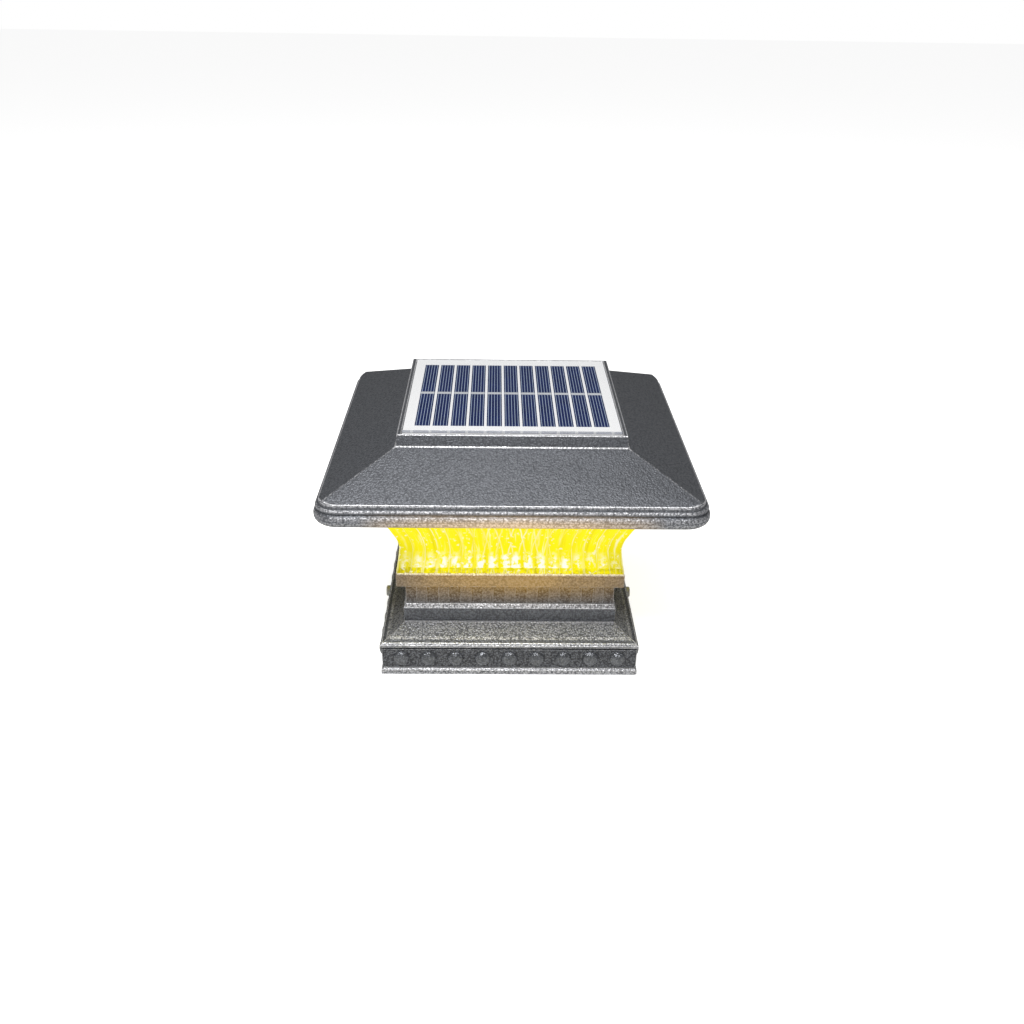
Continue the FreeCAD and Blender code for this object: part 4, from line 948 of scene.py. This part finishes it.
def rounded_block():
    """A block with four rounded upright edges, which trims the roof's corners."""
    piece = box_piece("limit", (-SLOPE_HALF, -SLOPE_HALF, SLOPE_Z - 3),
                      (SLOPE_HALF, SLOPE_HALF, BLOCK_TOP + 2))
    edit(piece, "EDGE")
    bpy.ops.mesh.select_all(action="DESELECT")
    leave_edit()
    for edge in piece.data.edges:
        ends = [piece.data.vertices[v].co for v in edge.vertices]
        edge.select = abs(ends[0].z - ends[1].z) > MM
    bpy.ops.object.mode_set(mode="EDIT")
    bpy.ops.mesh.bevel(offset=(SLOPE_HALF - CORNER_CORE) * MM, segments=10, profile=0.5)
    leave_edit()
    return piece


def crown_roof():
    low, high = PANEL_LOW / MM, PANEL_HIGH / MM
    roof = square_stack("roof", [
        (SLOPE_HALF + ROOF_OVERHANG, SLOPE_Z - 1.6), (SLOPE_HALF + ROOF_OVERHANG, SLOPE_Z - 0.55),
        (BLOCK_HALF, BLOCK_Z), (BLOCK_HALF - 0.6, BLOCK_TOP)])
    boolean(roof, rounded_block(), "INTERSECT")
    recess = box_piece("recess", (low.x - PANEL_SEAT, low.y - PANEL_SEAT, low.z - 0.5),
                       (high.x + PANEL_SEAT, high.y + PANEL_SEAT, BLOCK_TOP + 2))
    return boolean(roof, recess, "DIFFERENCE")


def crown():
    rim = coated(crown_rim(), CROWN_COAT, CROWN_EDGE_HIGHLIGHT)
    roof = bevel(coated(crown_roof(), CROWN_COAT, CROWN_EDGE_HIGHLIGHT), 0.4, 3, 12, slot=1)
    piece = join([rim, roof], "crown_casting")
    stands_for(piece, "crown_shell")
    print("crown faces", len(piece.data.polygons))


crown()

# %% [markdown]
# The base is a hollow casting too. The square is pushed along the whole section: down the inside
# of the bay, out over the seat for the post, down the socket, round the lip, and up the outside
# past the stud band, the slope, the step and the collar. Studs and teeth are modelled once, lined
# up with an Array modifier, and copied to the four sides.

# %% Base casting
SOCKET_HALF = 51.5
SEAT_Z = 14.6
BAY_HALF = 42.0
DECK_UNDER = DECK_Z - 3.0


def base_shell():
    return square_stack("base_casting", outline([
        # the bay, the seat for the post and its socket
        (BAY_HALF, DECK_UNDER), (BAY_HALF, SEAT_Z), (SOCKET_HALF, SEAT_Z), (SOCKET_HALF, 0.0),
        # the lip, with a groove over it
        (BASE_HALF - 0.6, 0.0), (BASE_HALF, 0.6), (BASE_HALF, LIP_TOP - 0.6), (BAND_HALF, LIP_TOP),
        (BAND_HALF - 0.5, LIP_TOP), (BAND_HALF - 0.5, LIP_TOP + 0.5), (BAND_HALF, LIP_TOP + 0.6),
        # the stud band, with a groove below the ledge
        (BAND_HALF, LEDGE_Z - 1.0), (BAND_HALF - 0.8, LEDGE_Z - 0.9), (BAND_HALF - 0.8, LEDGE_Z - 0.1),
        # the ledge and the slope
        (BASE_HALF - 0.4, LEDGE_Z), (BASE_HALF, LEDGE_Z + 0.4), (BASE_HALF, LEDGE_TOP - 0.6),
        (BASE_HALF - 0.8, LEDGE_TOP + 0.3), (FOOT_HALF, FOOT_Z), (STEP_HALF, STEP_Z - 0.1),
        # the step
        (STEP_HALF - 0.5, STEP_Z - 0.1), (STEP_HALF - 0.5, STEP_Z + 0.3), (STEP_HALF, STEP_Z + 0.5),
        (STEP_HALF, STEP_TOP - 0.3), (STEP_HALF - 0.8, STEP_TOP + 0.9),
        # the toothed band and the collar
        (DENTIL_HALF, DENTIL_Z), (DENTIL_HALF, COLLAR_Z), (COLLAR_HALF - 0.4, COLLAR_Z),
        (COLLAR_HALF, COLLAR_Z + 0.4), (COLLAR_HALF, DECK_Z - 0.8), (COLLAR_HALF - 0.8, DECK_Z),
    ]))

# %% [markdown]
# Studs are low domes, and teeth are flat blocks. A side has nine of each. The middle stud gives way
# to a clamp screw on two sides. An Array modifier runs out from the middle in each direction.

# %% Studs and teeth
PER_SIDE = 9
SUNK = 0.3


def row_of(piece, pitch, skip_middle=False):
    """Lines the piece up along X, centred on the middle of the side."""
    runs = []
    for way in (-1, 1):
        run = lined_up(copy_of(piece, piece.name + "_run"), (PER_SIDE - 1) // 2, way * pitch)
        run.location.x += way * pitch * MM
        runs.append(settle(run))
    if not skip_middle:
        runs.append(copy_of(piece, piece.name + "_middle"))
    bpy.data.objects.remove(piece)
    return join(runs, "row")


def one_stud():
    bpy.ops.mesh.primitive_uv_sphere_add(segments=28, ring_count=16, radius=STUD_R * MM,
                                         location=(0, -BAND_HALF * MM, STUD_Z * MM))
    piece = bpy.context.object
    piece.name = "stud"
    piece.scale = (1, STUD_RISE / STUD_R, 1)
    settle(piece)
    edit(piece)
    bpy.ops.mesh.bisect(plane_co=(0, (-BAND_HALF + SUNK) * MM, 0), plane_no=(0, 1, 0),
                        use_fill=True, clear_outer=True)
    leave_edit()
    dress(piece, STUD_COAT)
    return piece


def one_tooth():
    half = TOOTH_WIDTH / 2
    piece = box_piece("tooth", (-half, -DENTIL_HALF - TOOTH_RISE, DENTIL_Z + 0.8),
                      (half, -DENTIL_HALF + SUNK, COLLAR_Z + 0.1))
    return bevel(coated(piece, TOOTH_COAT, TOOTH_EDGE_HIGHLIGHT), 0.25, 2, slot=1)

# %% [markdown]
# The base is then put together. A round boss stands on the band where each clamp screw goes in, and
# one long cylinder drills both holes. The teeth are joined to the shell, and the studs are a piece
# of their own, because the frame has them as a node of their own.

# %% Whole base
def x_cylinder(name, x, radius, length):
    """A cylinder on the clamp screws' line, which runs along X."""
    bpy.ops.mesh.primitive_cylinder_add(vertices=40, radius=radius * MM, depth=length * MM,
                                        location=(x * MM, 0, STUD_Z * MM), rotation=(0, math.pi / 2, 0))
    piece = settle(bpy.context.object)
    piece.name = name
    return piece


def base():
    shell = coated(base_shell(), BASE_COAT, BASE_EDGE_HIGHLIGHT)
    bevel(shell, 0.25, 2, 20, slot=1)
    for side in (-1, 1):
        boss = x_cylinder("boss", side * BAND_HALF, CLAMP_BOSS_R, 1.0)
        boolean(shell, bevel(coated(boss, BASE_COAT, BASE_EDGE_HIGHLIGHT), 0.2, 2), "UNION")
    boolean(shell, x_cylinder("holes", 0, CLAMP_HOLE_R, 4 * BASE_HALF), "DIFFERENCE")
    studs = []
    teeth = []
    for quarter in range(4):
        has_screw = quarter % 2 == 1
        for trim, row in ((studs, row_of(one_stud(), STUD_PITCH, skip_middle=has_screw)),
                          (teeth, row_of(one_tooth(), TOOTH_PITCH))):
            trim.append(turned(row, quarter, "trim"))
            bpy.data.objects.remove(row)
    piece = join([shell] + teeth, "base_casting")
    stands_for(piece, "base_housing")
    stands_for(join(studs, "stud_rows"), "dome_studs")
    print("base faces", len(piece.data.polygons))


base()

# %% [markdown]
# The lens is a fluted square funnel. One flute is drawn as a small curve, lined up with an Array
# modifier and turned to four sides, which closes a fluted square. That loop is then extruded up
# the lens's outline and resized at each height, so the flutes fan out as the lens widens.

# %% Lens
FLUTE_DEPTH = 0.5
LENS_FOOT = 47.7
LENS_WALL = 1.8
MERGE_REACH = 0.8
LENS_SPOTS = outline([
    (LENS_FOOT, DECK_Z), ((46.75, 52.0), (46.2, 56.8)), ((46.8, 60.6), (48.2, 64.4)),
    ((52.4, 73.2), (58.0, LENS_HIGH.z / MM)),
], 5)


def lens():
    pitch = 2 * LENS_FOOT / FLUTES
    bulge = [(0.0, 0.0), (0.18, 0.6), (0.5, 1.0), (0.82, 0.6), (1.0, 0.0)]
    face = -(LENS_FOOT - FLUTE_DEPTH)
    curve = [((-LENS_FOOT + pitch * t) * MM, (face - FLUTE_DEPTH * rise) * MM, DECK_Z * MM)
             for t, rise in bulge]
    flute = lined_up(drawn_line("lens_shade", curve), FLUTES, pitch)
    sides = [turned(flute, quarter, "lens_side") for quarter in range(1, 4)]
    piece = join([flute] + sides, "lens_shade")
    edit(piece, "EDGE")
    bpy.ops.mesh.remove_doubles(threshold=MERGE_REACH * MM)
    bpy.ops.mesh.select_all(action="SELECT")
    for (half_0, z_0), (half_1, z_1) in zip(LENS_SPOTS, LENS_SPOTS[1:]):
        grow = half_1 / half_0
        bpy.ops.mesh.extrude_edges_move(TRANSFORM_OT_translate={"value": (0, 0, (z_1 - z_0) * MM)})
        bpy.ops.transform.resize(value=(grow, grow, 1), center_override=(0, 0, z_1 * MM))
    leave_edit()
    outward(piece)
    wall = piece.modifiers.new("wall", "SOLIDIFY")
    wall.thickness = LENS_WALL * MM
    wall.offset = -1
    apply_all(piece)
    dress(piece, FINISH["lens_amber"])
    stands_for(piece, "lens")
    print("lens faces", len(piece.data.polygons))


lens()

# %% [markdown]
# The clear cover is a rounded slab with a hollow below that clears the cells. It lies a hair above
# the white backsheet, so that the sheet shows through it evenly.

# %% Clear cover
COVER_GAP = 0.04
CELL_ROOM = 0.4
HOLLOW_DEEP = 0.45


def panel_window():
    low, high = COVER_LOW / MM, COVER_HIGH / MM
    cells_low, cells_high = CELL_LOW / MM, LAST_CELL_HIGH / MM
    piece = box_piece("panel_window", (low.x, low.y, low.z + COVER_GAP), high)
    dress(bevel(piece, 0.35, 3), FINISH["clear_resin"])
    hollow = box_piece("hollow", (cells_low.x - CELL_ROOM, cells_low.y - CELL_ROOM, low.z - 1),
                       (cells_high.x + CELL_ROOM, cells_high.y + CELL_ROOM, low.z + HOLLOW_DEEP))
    boolean(piece, hollow, "DIFFERENCE")
    stands_for(piece, "panel_cover")
    print("cover faces", len(piece.data.polygons))


panel_window()

# %% [markdown]
# The lamp stands on a pale floor. The key stands high in front and a little to the left, so that
# the front slopes shine, the base is lit below the crown's rim, and the sides stay dark. A weaker
# light overhead draws the edges. The floor and the air behind it show white. From underneath, the
# floor is clear, so that the battery door can be looked at.

# %% Floor, light and surroundings
FLOOR_SIZE = 12
FLOOR_TONE = 0.85
FLOOR_SHOWN = 0.88
AMBIENT = 0.075
AIM = Vector((0, 0, 0.06))
KEY_AT = Vector((-0.12, -0.62, 0.98))
OVERHEAD_AT = Vector((0.0, 0.25, 1.15))


def shown_to(tree, glossy):
    """1 for what the camera sees directly or through clear parts, and a part of it in reflections."""
    path = add(tree, "ShaderNodeLightPath")
    seen = math_node(tree, "MAXIMUM", path.outputs["Is Camera Ray"],
                     path.outputs["Is Transmission Ray"])
    mirrored = math_node(tree, "MULTIPLY", path.outputs["Is Glossy Ray"], glossy)
    return math_node(tree, "MAXIMUM", seen, mirrored)


def floor():
    bpy.ops.mesh.primitive_plane_add(size=FLOOR_SIZE, location=(0, 0, 0))
    ground = bpy.context.object
    ground.name = "floor"
    material, tree, shader, place = start("pale_floor", 0.9)
    shader.inputs["Base Color"].default_value = (FLOOR_TONE, FLOOR_TONE, FLOOR_TONE, 1)
    shown = math_node(tree, "MULTIPLY", shown_to(tree, 0.18), FLOOR_SHOWN)
    tree.links.new(shown, shader.inputs["Emission Strength"])
    shader.inputs["Emission Color"].default_value = (1, 1, 1, 1)
    side = add(tree, "ShaderNodeNewGeometry")
    tree.links.new(math_node(tree, "SUBTRACT", 1.0, side.outputs["Backfacing"]), shader.inputs["Alpha"])
    dress(ground, material)


def surroundings():
    world = bpy.data.worlds.new("studio")
    bpy.context.scene.world = world
    world.use_nodes = True
    tree = world.node_tree
    sky = tree.nodes["Background"]
    strength = math_node(tree, "MULTIPLY_ADD", shown_to(tree, 0.03), 1.0 - AMBIENT, AMBIENT)
    tree.links.new(strength, sky.inputs["Strength"])
    sky.inputs["Color"].default_value = (1, 1, 1, 1)


def softbox(name, place, size, power):
    """A square light that faces the lamp."""
    data = bpy.data.lights.new(name, "AREA")
    data.shape = "SQUARE"
    data.size = size
    data.energy = power
    lamp = bpy.data.objects.new(name, data)
    lamp.location = place
    lamp.rotation_euler = (AIM - place).to_track_quat("-Z", "Y").to_euler()
    bpy.context.scene.collection.objects.link(lamp)


floor()
surroundings()
softbox("key", KEY_AT, 0.32, 11.7)
softbox("overhead", OVERHEAD_AT, 0.6, 2.4)
print("lights:", [light.name for light in bpy.data.lights])
